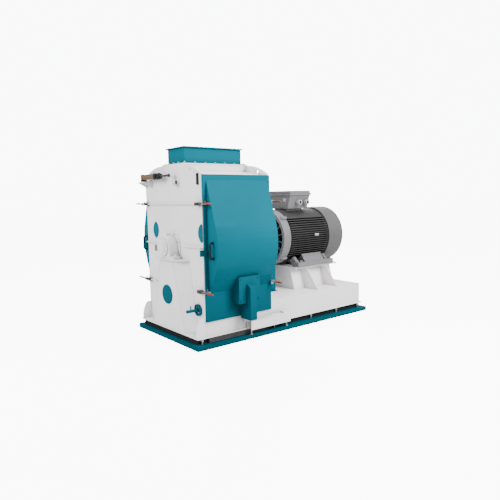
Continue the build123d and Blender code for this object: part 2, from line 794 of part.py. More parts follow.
def motor_rotor():
    rotor = rod_x(*MOTOR_SHAFT_X, 0, SHAFT_Z, SHAFT_R)
    return rotor + rod_x(*MOTOR_CORE_X, 0, SHAFT_Z, MOTOR_CORE_R)


def motor_fan():
    front, rear = FAN_X
    half = FAN_SKIN / 2
    fan = tube_x(front, rear, SHAFT_Z, FAN_HUB_R, SHAFT_R)
    fan += tube_x(front, front + FAN_SKIN, SHAFT_Z, FAN_R, SHAFT_R)
    for i in range(8):
        blade = block(front + FAN_SKIN, rear, FAN_HUB_R - 4, FAN_R, SHAFT_Z - half, SHAFT_Z + half)
        fan += round_motor(blade, 45 * i)
    return fan


# ---- motor --------------------------------------------------------------
def motor_frame():
    body = rod_x(MOTOR_FRONT, MOTOR_REAR, 0, SHAFT_Z, CORE_R)
    fins = Part()
    for i in range(FIN_COUNT):
        z = SHAFT_Z + FIN_PITCH * (i - (FIN_COUNT - 1) / 2)
        fins += block(MOTOR_FRONT + 4, MOTOR_REAR - 4, -FIN_R, FIN_R, z - FIN_THICK / 2, z + FIN_THICK / 2)
    envelope = rod_x(MOTOR_FRONT, MOTOR_REAR, 0, SHAFT_Z, FIN_R)
    end = MOTOR_REAR - 3
    above = block(MOTOR_FRONT, end, -FIN_R, FIN_R, CROWN_Z, SHAFT_Z + FIN_R)
    below = block(MOTOR_FRONT, end, -KEEL_HALF, KEEL_HALF, SHAFT_Z - FIN_R, KEEL_Z)
    crown = rod_x(MOTOR_FRONT, end, 0, SHAFT_Z, CROWN_R) & above
    keel = rod_x(MOTOR_FRONT, end, 0, SHAFT_Z, KEEL_R) & below
    body += (fins & envelope) + crown + keel
    return body - rod_x(MOTOR_FRONT - 1, MOTOR_REAR + 1, 0, SHAFT_Z, STATOR_R[0])


def motor_stator():
    return tube_x(*STATOR_X, SHAFT_Z, *STATOR_R)


def round_motor(shape, degrees):
    """Turns a shape about the shaft's axis."""
    return Pos(0, 0, SHAFT_Z) * Rot(degrees, 0, 0) * Pos(0, 0, -SHAFT_Z) * shape


def sectors(ring, start=0.0, count=8):
    """A round shell about the shaft, cut into equal sectors so that each one is nearly convex."""
    reach, turn = 2 * COWL_R, 360 / count
    tip = (reach * math.cos(math.radians(turn)), SHAFT_Z + reach * math.sin(math.radians(turn)))
    wedge = panel_x([(0, SHAFT_Z), (reach, SHAFT_Z), tip], SHIELD_FRONT - 10, COWL_REAR + 10)
    return [round_motor(wedge, start + turn * i) & ring for i in range(count)]


def drive_end_shield():
    """Rim with bosses, recessed plate, bearing hub and the ribs between them."""
    plate_front, plate_rear = SHIELD_PLATE_X
    rim = tube_x(SHIELD_FRONT, MOTOR_FRONT, SHAFT_Z, SHIELD_R, SHIELD_BORE)
    for i in range(4):
        boss = rod_x(176, MOTOR_FRONT, 0, SHAFT_Z + SHIELD_R + 4, 20)
        rim += round_motor(boss, 90 * i + 45)
    rim -= rod_x(SHIELD_FRONT, MOTOR_FRONT + 1, 0, SHAFT_Z, SHIELD_BORE)
    plate = tube_x(plate_front, plate_rear, SHAFT_Z, SHIELD_BORE, MOTOR_BEARING_R)
    hub = tube_x(150, plate_front, SHAFT_Z, SHIELD_HUB_R, MOTOR_BEARING_R)
    rib = block(SHIELD_RIB_FRONT, plate_front, SHIELD_HUB_R + 0.3, SHIELD_BORE - 0.3,
                SHAFT_Z - 4, SHAFT_Z + 4)
    turn = 360 / SHIELD_RIBS
    ribs = [round_motor(rib, turn * (i + 0.5)) for i in range(SHIELD_RIBS)]
    return group(*sectors(rim, 22.5), plate, hub, *ribs)


def fan_end_shield():
    return tube_x(MOTOR_REAR, MOTOR_REAR + 14, SHAFT_Z, FAN_SHIELD_R, MOTOR_BEARING_R)


def motor_bearings():
    rings = tube_x(155, 205, SHAFT_Z, MOTOR_BEARING_R, SHAFT_R + PIN_GAP)
    return rings + tube_x(MOTOR_REAR - 26, MOTOR_REAR + 12, SHAFT_Z, MOTOR_BEARING_R, SHAFT_R + PIN_GAP)


def cowl_bars():
    """Upright bars across the round air inlet."""
    bars = []
    count = int(COWL_INLET_R / COWL_BAR_PITCH)
    inlet = rod_x(COWL_REAR - COWL_SKIN, COWL_REAR, 0, SHAFT_Z, COWL_INLET_R)
    for i in range(-count + 1, count):
        y = COWL_BAR_PITCH * i
        strip = block(COWL_REAR - COWL_SKIN, COWL_REAR, y - COWL_BAR_HALF, y + COWL_BAR_HALF,
                      SHAFT_Z - COWL_R, SHAFT_Z + COWL_R)
        bars.append(strip & inlet)
    return bars


def fan_cowl():
    """Spun shell with a rounded rear edge, its mounting ring, and the rear ring with its bars."""
    front, skin = MOTOR_REAR + 2, COWL_SKIN
    inner = COWL_R - COWL_ROUND
    shell = rod_x(front, COWL_REAR, 0, SHAFT_Z, COWL_R)
    shell = fillet(shell.faces().sort_by(Axis.X)[-1].edges(), COWL_ROUND)
    core = rod_x(front - 12, COWL_REAR - skin, 0, SHAFT_Z, COWL_R - skin)
    core = fillet(core.faces().sort_by(Axis.X)[-1].edges(), COWL_ROUND - skin)
    shell -= core + rod_x(COWL_REAR - 2 * skin, COWL_REAR + 1, 0, SHAFT_Z, inner)
    mount = tube_x(front, front + 12, SHAFT_Z, COWL_R - skin, inner)
    rear = tube_x(COWL_REAR - skin, COWL_REAR, SHAFT_Z, inner, COWL_INLET_R)
    return group(*sectors(shell), mount, *sectors(rear), *cowl_bars())


def motor_feet():
    outer, inner = FOOT_Y
    bar = block(*FOOT_X, outer, inner, FOOT_Z, FOOT_TOP)
    root = [(inner, FOOT_Z), (inner, FOOT_TOP)]
    wedge = [(outer + 15, FOOT_TOP), FOOT_PAD_TOP, (FOOT_ROOT_Y, FOOT_PAD_TOP[1])] + root
    bar += panel_x(wedge, *FOOT_PAD_X)
    slope = [(outer + 35, FOOT_TOP), FOOT_END_TOP, (FOOT_ROOT_Y, FOOT_END_TOP[1])] + root
    for span in FOOT_ENDS:
        bar += panel_x(slope, *span)
    feet = both_sides(bar)
    return feet - rod_x(FOOT_X[0] - 1, FOOT_X[1] + 1, 0, SHAFT_Z, CORE_R) - fin_envelope()


def fin_envelope():
    """Space the finned body takes, with a little clearance, cut from the feet."""
    envelope = rod_x(MOTOR_FRONT, MOTOR_REAR, 0, SHAFT_Z, FIN_R + 0.5)
    return envelope & block(MOTOR_FRONT, MOTOR_REAR, -COWL_R, COWL_R, FOOT_Z - PEDESTAL_TOP, CROWN_Z - 3)


def motor_foot_bolts():
    bolts = Part()
    for x in FOOT_BOLT_X:
        for y in (-FOOT_BOLT_Y, FOOT_BOLT_Y):
            bolts += hex_z(x, y, FOOT_TOP, FOOT_TOP + FOOT_BOLT_HEAD[1], FOOT_BOLT_HEAD[0])
    return bolts


def box_half(z):
    """Half width of the flared terminal box at a height."""
    (low, z0), (high, z1) = BOX_FOOT, BOX_RIM
    return low + (high - low) * (z - z0) / (z1 - z0)


def terminal_box():
    """Flared box of plates on a neck, with gland holes in both sides."""
    x0, x1 = BOX_END_X
    floor_z, base_z, rim_z = BOX_FOOT[1], BOX_FOOT[1] + BOX_FLOOR, BOX_RIM[1]
    foot, base, rim = box_half(floor_z), box_half(base_z), box_half(rim_z)
    floor = panel_x([(-foot, floor_z), (foot, floor_z), (base, base_z), (-base, base_z)], x0, x1)
    end = [(-base, base_z), (base, base_z), (rim, rim_z), (-rim, rim_z)]
    ends = [panel_x(end, x, x + BOX_WALL) for x in (x0, x1 - BOX_WALL)]
    slope = [(-base, base_z), (-rim, rim_z), (-rim + BOX_WALL, rim_z), (-base + BOX_WALL, base_z)]
    side = panel_x(slope, x0 + BOX_WALL, x1 - BOX_WALL)
    for x in GLAND_X:
        side -= rod_y(x, -250, -100, GLAND_Z, GLAND_R)
    saddle = rod_x(MOTOR_FRONT, MOTOR_REAR, 0, SHAFT_Z, CROWN_R)
    neck = block(*NECK_X, -NECK_HALF, NECK_HALF, NECK_Z, floor_z) - saddle
    return group(floor, neck, *ends, both_sides(side))


def terminal_lid():
    (x0, x1), step = LID_X, LID_STEP
    rim_z, step_z, top_z = LID_Z
    lid = block(x0, x1, -LID_HALF, LID_HALF, rim_z, step_z)
    lid += block(x0 + step, x1 - step, -LID_HALF + step, LID_HALF - step, step_z, top_z)
    return lid + rod_x(x1, x1 + 18, *LID_PIN)


def cable_glands():
    glands = Part()
    for x in GLAND_X:
        gland = rod_y(x, -188, -158, GLAND_Z, GLAND_R)
        gland += hex_y(x, -184, GLAND_Z, 34, 14)
        gland += rod_y(x, -226, -198, GLAND_Z, 28)
        gland -= rod_y(x, -240, -150, GLAND_Z, GLAND_BORE)
        plug = rod_y(x, 158, 186, GLAND_Z, GLAND_R) + rod_y(x, 184, 192, GLAND_Z, 32)
        glands += gland + plug
    return glands


def coupling_guard():
    """Arched cover on two flat walls over the coupling, two end plates and two feet."""
    x0, x1 = GUARD_X
    inner = GUARD_R - GUARD_SKIN
    walls = both_sides(block(x0, x1, -GUARD_R, -inner, BEAM_TOP, SHAFT_Z))
    above = block(x0, x1, -GUARD_R, GUARD_R, SHAFT_Z, SHAFT_Z + GUARD_R)
    arch = tube_x(x0, x1, SHAFT_Z, GUARD_R, inner) & above
    ends = []
    for x in (x0, x1 - GUARD_SKIN):
        plate = block(x, x + GUARD_SKIN, -inner, inner, BEAM_TOP, SHAFT_Z)
        plate += rod_x(x, x + GUARD_SKIN, 0, SHAFT_Z, inner)
        ends.append(plate - rod_x(x - 1, x + GUARD_SKIN + 1, 0, SHAFT_Z, GUARD_HOLE_R))
    foot = block(x0, x1, -GUARD_R - 25, -GUARD_R, BEAM_TOP, BEAM_TOP + 5)
    return group(walls, arch, *ends, both_sides(foot))


# ---- doors --------------------------------------------------------------
def bulge_outline(inset):
    peak_y, peak_z = BULGE_CORNER
    root = WALL_HALF + 13
    top = (-root + inset, BULGE_TOP)
    low = (-root + inset, BULGE_BOTTOM)
    peak = (-peak_y + 1.1 * inset, peak_z)
    run = FilletPolyline(top, peak, low, radius=BULGE_RADIUS - inset)
    return [run, Line(low, top)]


def door_panel():
    left, right = DOOR_LEFT + BULGE_INSET, DOOR_RIGHT - BULGE_INSET
    outer = -WALL_HALF - DOOR_THICK
    plate = block(DOOR_LEFT, DOOR_RIGHT, outer, -WALL_HALF - 0.5, DOOR_BOTTOM, DOOR_TOP)
    plate += section_x(bulge_outline(0), left, right)
    plate -= section_x(bulge_outline(SKIN), left + SKIN, right - SKIN)
    plate -= block(left + SKIN, right - SKIN, outer, -WALL_HALF + 1, BULGE_BOTTOM + 30, BULGE_TOP - 30)
    return plate


def door_handle():
    x, y, radius = DOOR_HANDLE_X, DOOR_HANDLE_Y, DOOR_HANDLE_R
    grip = rod_z(x, y, *DOOR_HANDLE_Z, radius)
    for z in DOOR_HANDLE_Z:
        grip += rod_x(x, DOOR_LEFT + BULGE_INSET, y, z, radius)
        grip += Pos(x, y, z) * Sphere(radius)
    return grip


def door_tab():
    face = -WALL_HALF - DOOR_THICK
    tab = block(TAB_X, DOOR_LEFT + BULGE_INSET - 2, face - TAB_THICK, face, *TAB_Z)
    for z in TAB_BOLT_Z:
        tab += hex_y(TAB_BOLT_X, face - TAB_THICK, z, 8, 6)
    return tab


def door_carriage():
    """Welded bracket on the door's lower middle: open box, post, two webs and a foot."""
    x0, x1 = BOX_X
    z0, z1 = BOX_Z
    front, back = -POST_Y[0], -WALL_HALF - DOOR_THICK
    thick = CARRIAGE_PLATE
    plates = [block(x0, x1, front, front + thick, z0, z1)]
    plates.append(block(x0, x0 + thick, front + thick, back, z0, z1))
    plates.append(block(x1 - thick, x1, front + thick, back, z0, z1))
    plates.append(block(x0 + thick, x1 - thick, front + thick, back, z0, z0 + thick))
    slant = [(-POST_Y[1], POST_BOTTOM), (-POST_Y[1], 568), (front, 606), (front, POST_BOTTOM)]
    plates.append(panel_x(slant, *POST_X))
    web = [(front, POST_BOTTOM), (front, z0), (back, z0), (back, DOOR_BOTTOM + 4), (-605, POST_BOTTOM)]
    for x in (POST_X[0], POST_X[1] - WEB_PLATE):
        plates.append(panel_x(web, x, x + WEB_PLATE))
    plates.append(block(POST_X[0] + WEB_PLATE, POST_X[1] - WEB_PLATE, front, -RAIL_OUT, POST_BOTTOM,
                        POST_BOTTOM + WEB_PLATE))
    for x in (x0 + 22, x1 - 22):
        for z in (z0 + 25, z1 - 25):
            plates.append(hex_y(x, front, z, 9, 6))
    swell = section_x(bulge_outline(0), DOOR_LEFT + BULGE_INSET, DOOR_RIGHT - BULGE_INSET)
    return group(*[plate - swell for plate in plates])


def carriage_shoe():
    return block(*POST_X, -655, -605, RAIL_TOP + 0.4, POST_BOTTOM)


def door_rail():
    """Upturned channel welded from plates, closed at its rear end."""
    x0, x1 = RAIL_X
    outer, inner = -RAIL_OUT, -BASE_HALF_WIDTH
    skin, under = RAIL_SKIN, RAIL_TOP - RAIL_COVER
    cover = block(x0, x1, outer, inner, under, RAIL_TOP)
    out_wall = block(x0, x1, outer, outer + skin, BASE_BOTTOM, under)
    in_wall = block(x0, x1, inner - skin, inner, BASE_BOTTOM, under)
    end = block(x1 - skin, x1, outer + skin, inner - skin, BASE_BOTTOM, under)
    return [cover, out_wall, in_wall, end]


def rail_stop():
    end = POST_X[1] + DOOR_TRAVEL + 4
    return block(end, end + 18, -RAIL_OUT, -BASE_HALF_WIDTH - 8, RAIL_TOP, RAIL_TOP + 24)


def rail_feet():
    feet = Part()
    for x in (RAIL_X[0] + 30, RAIL_X[1] - 25):
        feet += rod_z(x, -620, FRAME_HEIGHT, 188, 8)
        feet += hex_z(x, -620, FRAME_HEIGHT, FRAME_HEIGHT + 9, 16)
    return feet


# ---- clamps -------------------------------------------------------------
def front_clamp_base(z):
    """Ears and pin on the front wall, near side."""
    x, y = CLAMP_PIVOT
    base = block(WALL_FRONT - 44, WALL_FRONT, *CLAMP_BLOCK_Y, z - 16, z + 16)
    for z0 in (z + 8, z - 14):
        base += block(x - 12, x + 12, y - 12, CLAMP_BLOCK_Y[0], z0, z0 + 6)
    return base + rod_z(x, y, z - 16, z + 18, CLAMP_PIN_R)


def front_clamp_lever(z):
    x, y = CLAMP_PIVOT
    low, high = z - CLAMP_LEVER_HALF, z + CLAMP_LEVER_HALF
    lever = rod_z(x, y, low, high, 13)
    lever += block(x - 8, x + 8, CLAMP_GRIP_Y, y, low, high)
    lever += block(x - 8, -1112, -612, -596, low, high)
    lever += rod_y(-1119, -597, -591, z, 7)
    lever += rod_y(x, FRONT_HANDLE_END, HANDLE_START, z, HANDLE_R)
    return lever - rod_z(x, y, z - 20, z + 20, CLAMP_PIN_R + PIN_GAP)


def rear_clamp_base(z):
    """Block and pivot pin on the door's trailing edge, near side."""
    face = -WALL_HALF - DOOR_THICK
    base = block(*HOOK_BLOCK_X, HOOK_PIVOT_Y - 18, face, z - 18, z + 18)
    return base + rod_x(HOOK_BLOCK_X[1], HOOK_X[1] + 10, HOOK_PIVOT_Y, z, HOOK_PIN_R)


def rear_clamp_lever(z):
    x0, x1 = HOOK_X
    lever = rod_x(x0, x1, HOOK_PIVOT_Y, z, 15)
    lever += block(x0, x1, -606, -512, z + 8, z + 20)
    lever += block(x0, x1, -606, -545, z - 6, z + 12)
    lever += block(x0, x1, -520, -512, z - 10, z + 12)
    lever += block(x0, x1, CLAMP_GRIP_Y, HOOK_PIVOT_Y, z - CLAMP_LEVER_HALF, z + CLAMP_LEVER_HALF)
    lever += rod_y((x0 + x1) / 2, REAR_HANDLE_END, HANDLE_START, z, HANDLE_R)
    return lever - rod_x(x0 - 1, x1 + 1, HOOK_PIVOT_Y, z, HOOK_PIN_R + PIN_GAP)


def clamp_keepers():
    pins = Part()
    for z in CLAMP_Z:
        pins += rod_x(WALL_REAR, HOOK_X[1] + 14, KEEPER_Y, z, HOOK_PIN_R)
    return both_sides(pins)


# ---- inlet flap, its cylinder and the screen lock -----------------------
def flap_bush():
    depth, collar = BUSH_COLLAR
    bore = FLAP_SHAFT_R + PIN_GAP
    bush = tube_x(WALL_FRONT - depth, WALL_FRONT, FLAP_Z, collar, bore, FLAP_Y)
    return bush + tube_x(WALL_FRONT, WALL_FRONT + WALL_THICK, FLAP_Z, BUSH_R, bore, FLAP_Y)


def inlet_flap():
    shaft = rod_x(*FLAP_SHAFT_X, FLAP_Y, FLAP_Z, FLAP_SHAFT_R)
    plate = block(*FLAP_PLATE_X, FLAP_Y, FLAP_PLATE_EDGE, FLAP_Z - 4, FLAP_Z + 4)
    return shaft + plate


def flap_lever():
    """Arm with a long slot, clamped on the flap shaft in front of the wall."""
    x0, x1 = LEVER_X
    near, far = LEVER_SLOT
    half, gap = LEVER_HALF, LEVER_SLOT_R
    hub = rod_x(x0 - 4, x1 + 4, 0, 0, LEVER_HUB_R)
    arm = block(x0, x1, 0, LEVER_END, -half, half) + rod_x(x0, x1, LEVER_END, 0, half)
    slot = block(x0 - 1, x1 + 1, near, far, -gap, gap)
    slot += rod_x(x0 - 1, x1 + 1, near, 0, gap) + rod_x(x0 - 1, x1 + 1, far, 0, gap)
    lever = hub + arm - slot - rod_x(x0 - 15, x1 + 13, 0, 0, FLAP_SHAFT_R)
    return Pos(0, FLAP_Y, FLAP_Z) * Rot(LEVER_ANGLE, 0, 0) * lever


def cylinder_shelf():
    (y0, y1), under = SHELF_Y, SHELF_Z[0]
    shelf = block(SHELF_FRONT, WALL_FRONT, y0, y1, *SHELF_Z)
    ramp = [(SHELF_FRONT, under), (WALL_FRONT, under), (WALL_FRONT, SHELF_RAMP_Z)]
    for y in (y0 + 7, y1 - 7 - SHELF_WEB):
        shelf += panel_y(ramp, y, y + SHELF_WEB)
    return shelf


def flap_cylinder():
    x, z = CYLINDER_X, CYLINDER_Z
    (y0, y1), end, seat, half = CYLINDER_Y, CYLINDER_END, SHELF_Z[1], CYLINDER_CAP
    body = rod_y(x, y0, y1, z, CYLINDER_R)
    body += block(x - half, x + half, y1, end, z - half, z + half)
    body += block(x - half, x + half, CYLINDER_FRONT_CAP, y0, z - half, z + half)
    body += block(x - half, x + half, end - 12, end, seat, z)
    body += block(x - half, x + half, y1 - 30, end, seat, seat + 6)
    body -= rod_y(x, y0 - 10, y1 + 5, z, CYLINDER_BORE)
    return body - rod_y(x, CYLINDER_FRONT_CAP - 10, y0, z, ROD_R + PIN_GAP)


def cylinder_valve():
    x, z = CYLINDER_X, CYLINDER_Z
    y0, y1 = VALVE_Y
    valve = block(x - 26, x + 26, y0, y1, z - 30, z + 34)
    return valve - rod_y(x, y0 - 10, y1 + 10, z, ROD_R + 2)


def piston_rod():
    x, z = CYLINDER_X, CYLINDER_Z
    pin_y = FLAP_Y + LEVER_REACH * math.cos(math.radians(LEVER_ANGLE))
    rod = rod_y(x, pin_y + 8, 410, z, ROD_R)
    rod += rod_y(x, 392, 412, z, CYLINDER_BORE - PIN_GAP)
    rod += rod_x(x - 7, x + 5, pin_y, z, 17)
    rod += rod_x(x - 14, -1190, pin_y, z, 6)
    return rod


def lock_spindle():
    """Turning spindle with a hand ring that holds the screens."""
    y, z = SPINDLE_Y, SPINDLE_Z
    spindle = rod_x(SPINDLE_END, WALL_FRONT + WALL_THICK + 20, y, z, SPINDLE_R)
    ring = tube_x(*RING_X, z, *RING_R, y)
    for i in range(3):
        spoke = block(RING_X[0] + 2, RING_X[1] - 2, 0, RING_R[1] + 5, -6, 6)
        ring += Pos(0, y, z) * Rot(120 * i + 90, 0, 0) * spoke
    spindle += ring
    spindle += rod_z(PEG_X, y, z, z + PEG_LENGTH, PEG_R)
    return spindle


# ---- all nodes ----------------------------------------------------------
def build_frame():
    nodes["base_frame"] = group(base_side_rails(), base_cross_rails())
    nodes["isolator_strips"] = isolator_strips()
    nodes["steel_bolts"] = group(base_bolts(), both_sides(rail_feet()), motor_foot_bolts())
    nodes["discharge_sleeve"] = discharge_sleeve()
    nodes["mill_base"] = group(mill_base_plate(), plinth_sides(), corner_gussets())
    nodes["motor_base_beam"] = motor_base_beam()
    nodes["motor_pedestal"] = motor_pedestal()


def build_housing():
    nodes["front_wall"] = front_wall()
    nodes["rear_wall"] = rear_wall()
    nodes["hood"] = group(hood(), head_flange())
    nodes["inlet_spout"] = inlet_spout()
    nodes["inlet_bolts"] = inlet_bolts()
    nodes["bearing_stands"] = group(front_bearing_stand(), rear_bearing_stand())
    nodes["bearing_housings"] = group(bearing_housing(-1262, -1160), bearing_housing(-285, -181))
    nodes["shaft_bearings"] = group(rotor_bearings(), motor_bearings(), flap_bush())
    nodes["bearing_caps"] = bearing_caps()
    nodes["wall_trim"] = group(stand_cover(), eye_covers(), name_plate(), door_switch())
    nodes["screens"] = screens()
    nodes["screen_frames"] = group(screen_frames(), breaker_plates())
    plates = door_rail() + [rail_stop()]
    nodes["door_rails"] = group(*plates, *[far_side(plate) for plate in plates])
    bases = front_clamp_base(CLAMP_Z[0]) + front_clamp_base(CLAMP_Z[1])
    nodes["clamp_mounts"] = group(both_sides(bases), clamp_keepers())
    nodes["cylinder_shelf"] = cylinder_shelf()
    nodes["flap_cylinder"] = group(flap_cylinder(), cylinder_valve())


def build_motor():
    nodes["motor_frame"] = motor_frame()
    nodes["motor_stator"] = motor_stator()
    nodes["end_shields"] = group(drive_end_shield(), fan_end_shield())
    nodes["fan_cowl"] = fan_cowl()
    nodes["motor_feet"] = motor_feet()
    nodes["terminal_box"] = terminal_box()
    nodes["terminal_lid"] = terminal_lid()
    nodes["cable_glands"] = cable_glands()
    nodes["coupling_guard"] = coupling_guard()


def build_rotor():
    nodes["rotor_shaft"] = rotor_shaft()
    nodes["rotor_discs"] = group(rotor_discs(), disc_spacers())
    nodes["hammer_pins"] = hammer_pins()
    nodes["coupling"] = group(coupling_hubs(), coupling_pins())
    nodes["motor_rotor"] = group(motor_rotor(), motor_fan())
    for index in range(4):
        nodes[f"hammer_row_{index + 1}"] = hammer_row(index)


def build_doors():
    door = {
        "door_panel": door_panel(),
        "door_handle": door_handle(),
        "door_carriage": group(door_carriage(), door_tab()),
        "door_fittings": group(rear_clamp_base(CLAMP_Z[0]), rear_clamp_base(CLAMP_Z[1]), carriage_shoe()),
    }
    for name, shape in door.items():
        nodes[f"near_{name}"] = shape
        nodes[f"far_{name}"] = far_side(shape)
    for level, z in zip(("upper", "lower"), CLAMP_Z):
        for place, lever in (("front", front_clamp_lever(z)), ("rear", rear_clamp_lever(z))):
            nodes[f"near_{place}_{level}_clamp"] = lever
            nodes[f"far_{place}_{level}_clamp"] = far_side(lever)


def build_controls():
    nodes["inlet_flap"] = group(inlet_flap(), flap_lever())
    nodes["piston_rod"] = piston_rod()
    nodes["lock_spindle"] = lock_spindle()


build_frame()
build_housing()
build_motor()
build_rotor()
build_doors()
build_controls()

os.makedirs("parts", exist_ok=True)
for name, shape in nodes.items():
    export_step(shape, f"parts/{name}.step")
print(len(nodes), "nodes")
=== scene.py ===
import json
import math

import bmesh
import bpy
from mathutils import Matrix, Vector


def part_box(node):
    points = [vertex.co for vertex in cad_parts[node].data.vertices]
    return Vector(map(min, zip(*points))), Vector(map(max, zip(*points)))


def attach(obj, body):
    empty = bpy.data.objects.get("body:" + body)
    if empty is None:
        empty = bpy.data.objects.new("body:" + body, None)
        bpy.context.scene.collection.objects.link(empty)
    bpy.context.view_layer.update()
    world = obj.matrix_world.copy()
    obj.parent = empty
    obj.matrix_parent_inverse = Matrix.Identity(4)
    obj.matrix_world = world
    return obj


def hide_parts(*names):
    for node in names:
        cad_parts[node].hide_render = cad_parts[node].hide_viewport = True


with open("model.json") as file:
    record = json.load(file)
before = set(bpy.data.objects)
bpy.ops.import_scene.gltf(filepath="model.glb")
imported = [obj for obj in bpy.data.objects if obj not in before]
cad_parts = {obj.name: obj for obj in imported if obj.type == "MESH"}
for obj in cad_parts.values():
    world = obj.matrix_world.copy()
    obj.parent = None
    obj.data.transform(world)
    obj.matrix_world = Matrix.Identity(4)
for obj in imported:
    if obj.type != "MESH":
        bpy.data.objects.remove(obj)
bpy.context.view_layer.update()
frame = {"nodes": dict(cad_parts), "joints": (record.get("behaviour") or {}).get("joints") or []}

# Metres. +X runs along the shaft from the mill to the motor, +Z is up, and -Y is the near side.
JOINTS = {joint["name"]: joint for joint in frame["joints"]}
X, Y, Z = Vector((1, 0, 0)), Vector((0, 1, 0)), Vector((0, 0, 1))
SHARP_ANGLE = math.radians(35)
SIDES = (("near", -1), ("far", 1))
LEVELS = ("upper", "lower")

# ---- places on the CAD that a node's box doesn't give --------------------
SHAFT_Z = 0.975
WALL_FACE = -1.143
STAND_FACE = -1.235
STAND_TOP = 0.840
STAND_HALF_LOW = (0.330, 0.450)
STAND_HALF_HIGH = (0.120, 0.300)
BASE_TOP = 0.115
BEAM_TOP = 0.348
PEDESTAL_X = (0.330, 1.030)
PEDESTAL_HALF = 0.292
GUSSET_X = (0.510, 0.850)
GUSSET_HALF = 0.510
PLATE = 0.012
HOUSING_X = (-1.211, -0.233)
HOUSING_R = 0.118
SPOUT_LIP = ((-1.092, -0.189), (-0.338, 0.189))
SPOUT_OPENING = ((-1.068, -0.163), (-0.358, 0.163))
NAME_PLATE_Y = (0.360, 0.420)
NAME_PLATE_Z = (0.895, 0.965)
SHIELD_FLOOR = 0.205
SHIELD_BOSS = (0.176, 0.337)
CORE_R = 0.326
GLAND_X = (0.512, 0.640)
GLAND_Z = 1.396
GLAND_BORE = 0.0165
CYLINDER_REAR_CAP = (0.455, 0.482)
CYLINDER_FRONT_CAP = (0.150, 0.200)

# ---- how edges and hollows show in the paint: rubbed edges, painted shade in hollows and low down ---
EDGE_FACING = (0.99, 0.86)
CREVICE_LIGHT = (0.35, 0.95)
FLOOR_SHADE_Z = (0.05, 1.15)
SHADE_SAMPLES = 4


# ---- node materials -----------------------------------------------------
class Shader:
    """A small helper that adds and links the nodes of one material."""

    def __init__(self, name):
        self.material = bpy.data.materials.new(name)
        self.material.use_nodes = True
        self.tree = self.material.node_tree
        self.surface = self.tree.nodes["Principled BSDF"]
        self.place = self.add("ShaderNodeTexCoord").outputs["Object"]

    def add(self, kind, **inputs):
        node = self.tree.nodes.new(kind)
        for key, value in inputs.items():
            self.feed(node.inputs[key.replace("_", " ")], value)
        return node

    def feed(self, socket, value):
        if isinstance(value, bpy.types.NodeSocket):
            self.tree.links.new(value, socket)
        else:
            socket.default_value = value

    def noise(self, scale, detail=3.0, stretch=None):
        source = self.place
        if stretch:
            source = self.add("ShaderNodeMapping", Vector=source, Scale=stretch).outputs[0]
        return self.add("ShaderNodeTexNoise", Vector=source, Scale=scale, Detail=detail).outputs["Fac"]

    def span(self, value, low, high, to_low=0.0, to_high=1.0):
        node = self.add("ShaderNodeMapRange", Value=value, From_Min=low, From_Max=high,
                        To_Min=to_low, To_Max=to_high)
        return node.outputs[0]

    def math(self, operation, a, b=0.0):
        node = self.tree.nodes.new("ShaderNodeMath")
        node.operation = operation
        self.feed(node.inputs[0], a)
        self.feed(node.inputs[1], b)
        return node.outputs[0]

    def mix(self, factor, a, b):
        node = self.tree.nodes.new("ShaderNodeMix")
        node.data_type = "RGBA"
        self.feed(node.inputs["Factor"], factor)
        self.feed(node.inputs["A"], a)
        self.feed(node.inputs["B"], b)
        return node.outputs["Result"]

    def edges(self, radius):
        """1 on edges that stand out or fold in, 0 on flat ground."""
        soft = self.add("ShaderNodeBevel", Radius=radius)
        soft.samples = SHADE_SAMPLES
        face = self.add("ShaderNodeNewGeometry").outputs["Normal"]
        dot = self.tree.nodes.new("ShaderNodeVectorMath")
        dot.operation = "DOT_PRODUCT"
        self.feed(dot.inputs[0], soft.outputs[0])
        self.feed(dot.inputs[1], face)
        return self.span(dot.outputs["Value"], *EDGE_FACING)

    def crevice_shade(self, distance):
        """Painted shade from ambient occlusion: 1 deep in a corner, 0 in the open."""
        shade = self.add("ShaderNodeAmbientOcclusion", Distance=distance)
        shade.samples = SHADE_SAMPLES
        return self.span(shade.outputs["AO"], *CREVICE_LIGHT, 1.0, 0.0)

    def bump(self, height, strength, distance):
        node = self.add("ShaderNodeBump", Height=height, Strength=strength, Distance=distance)
        self.feed(self.surface.inputs["Normal"], node.outputs[0])

    def finish(self, colour, roughness, metallic=0.0, shine=0.5):
        self.feed(self.surface.inputs["Base Color"], colour)
        self.feed(self.surface.inputs["Roughness"], roughness)
        self.surface.inputs["Metallic"].default_value = metallic
        self.surface.inputs["Specular IOR Level"].default_value = shine
        return self.material


def tint(rgb, by):
    """A colour made darker or lighter, with its alpha."""
    return (*[min(1.0, channel * by) for channel in rgb], 1.0)


def enamel(name, rgb, roughness=0.35, worn=(0.5, 0.5, 0.5), wear=0.5, corner_shade=0.3, grain=320.0, depth=0.0004,
           shine=0.35, low=0.0):
    """Sprayed enamel: slow colour drift, orange peel, rubbed edges, painted shade in corners, and painted
    shade that darkens it towards the floor.
    """
    s = Shader(name)
    drift = s.span(s.noise(1.6, 4.0), 0.3, 0.7)
    colour = s.mix(drift, tint(rgb, 0.93), tint(rgb, 1.05))
    patches = s.span(s.noise(38.0, 5.0), 0.47, 0.62)
    rub = s.math("MULTIPLY", s.math("MULTIPLY", s.edges(0.0035), patches), wear)
    colour = s.mix(rub, colour, (*worn, 1.0))
    # Painted shade: corners and hollows darkened by corner_shade.
    hollow_shade = s.math("MULTIPLY", s.crevice_shade(0.09), corner_shade)
    colour = s.mix(hollow_shade, colour, tint(rgb, 0.42))
    # Painted shade: the colour darkens towards the floor, by up to low.
    if low:
        height = s.add("ShaderNodeSeparateXYZ", Vector=s.place).outputs["Z"]
        colour = s.mix(s.span(height, *FLOOR_SHADE_Z, low, 0.0), colour, tint(rgb, 0.35))
    s.bump(s.noise(grain, 2.0), 0.35, depth)
    sheen = s.span(s.noise(24.0, 4.0), 0.3, 0.7, roughness - 0.05, roughness + 0.1)
    return s.finish(colour, sheen, shine=shine)


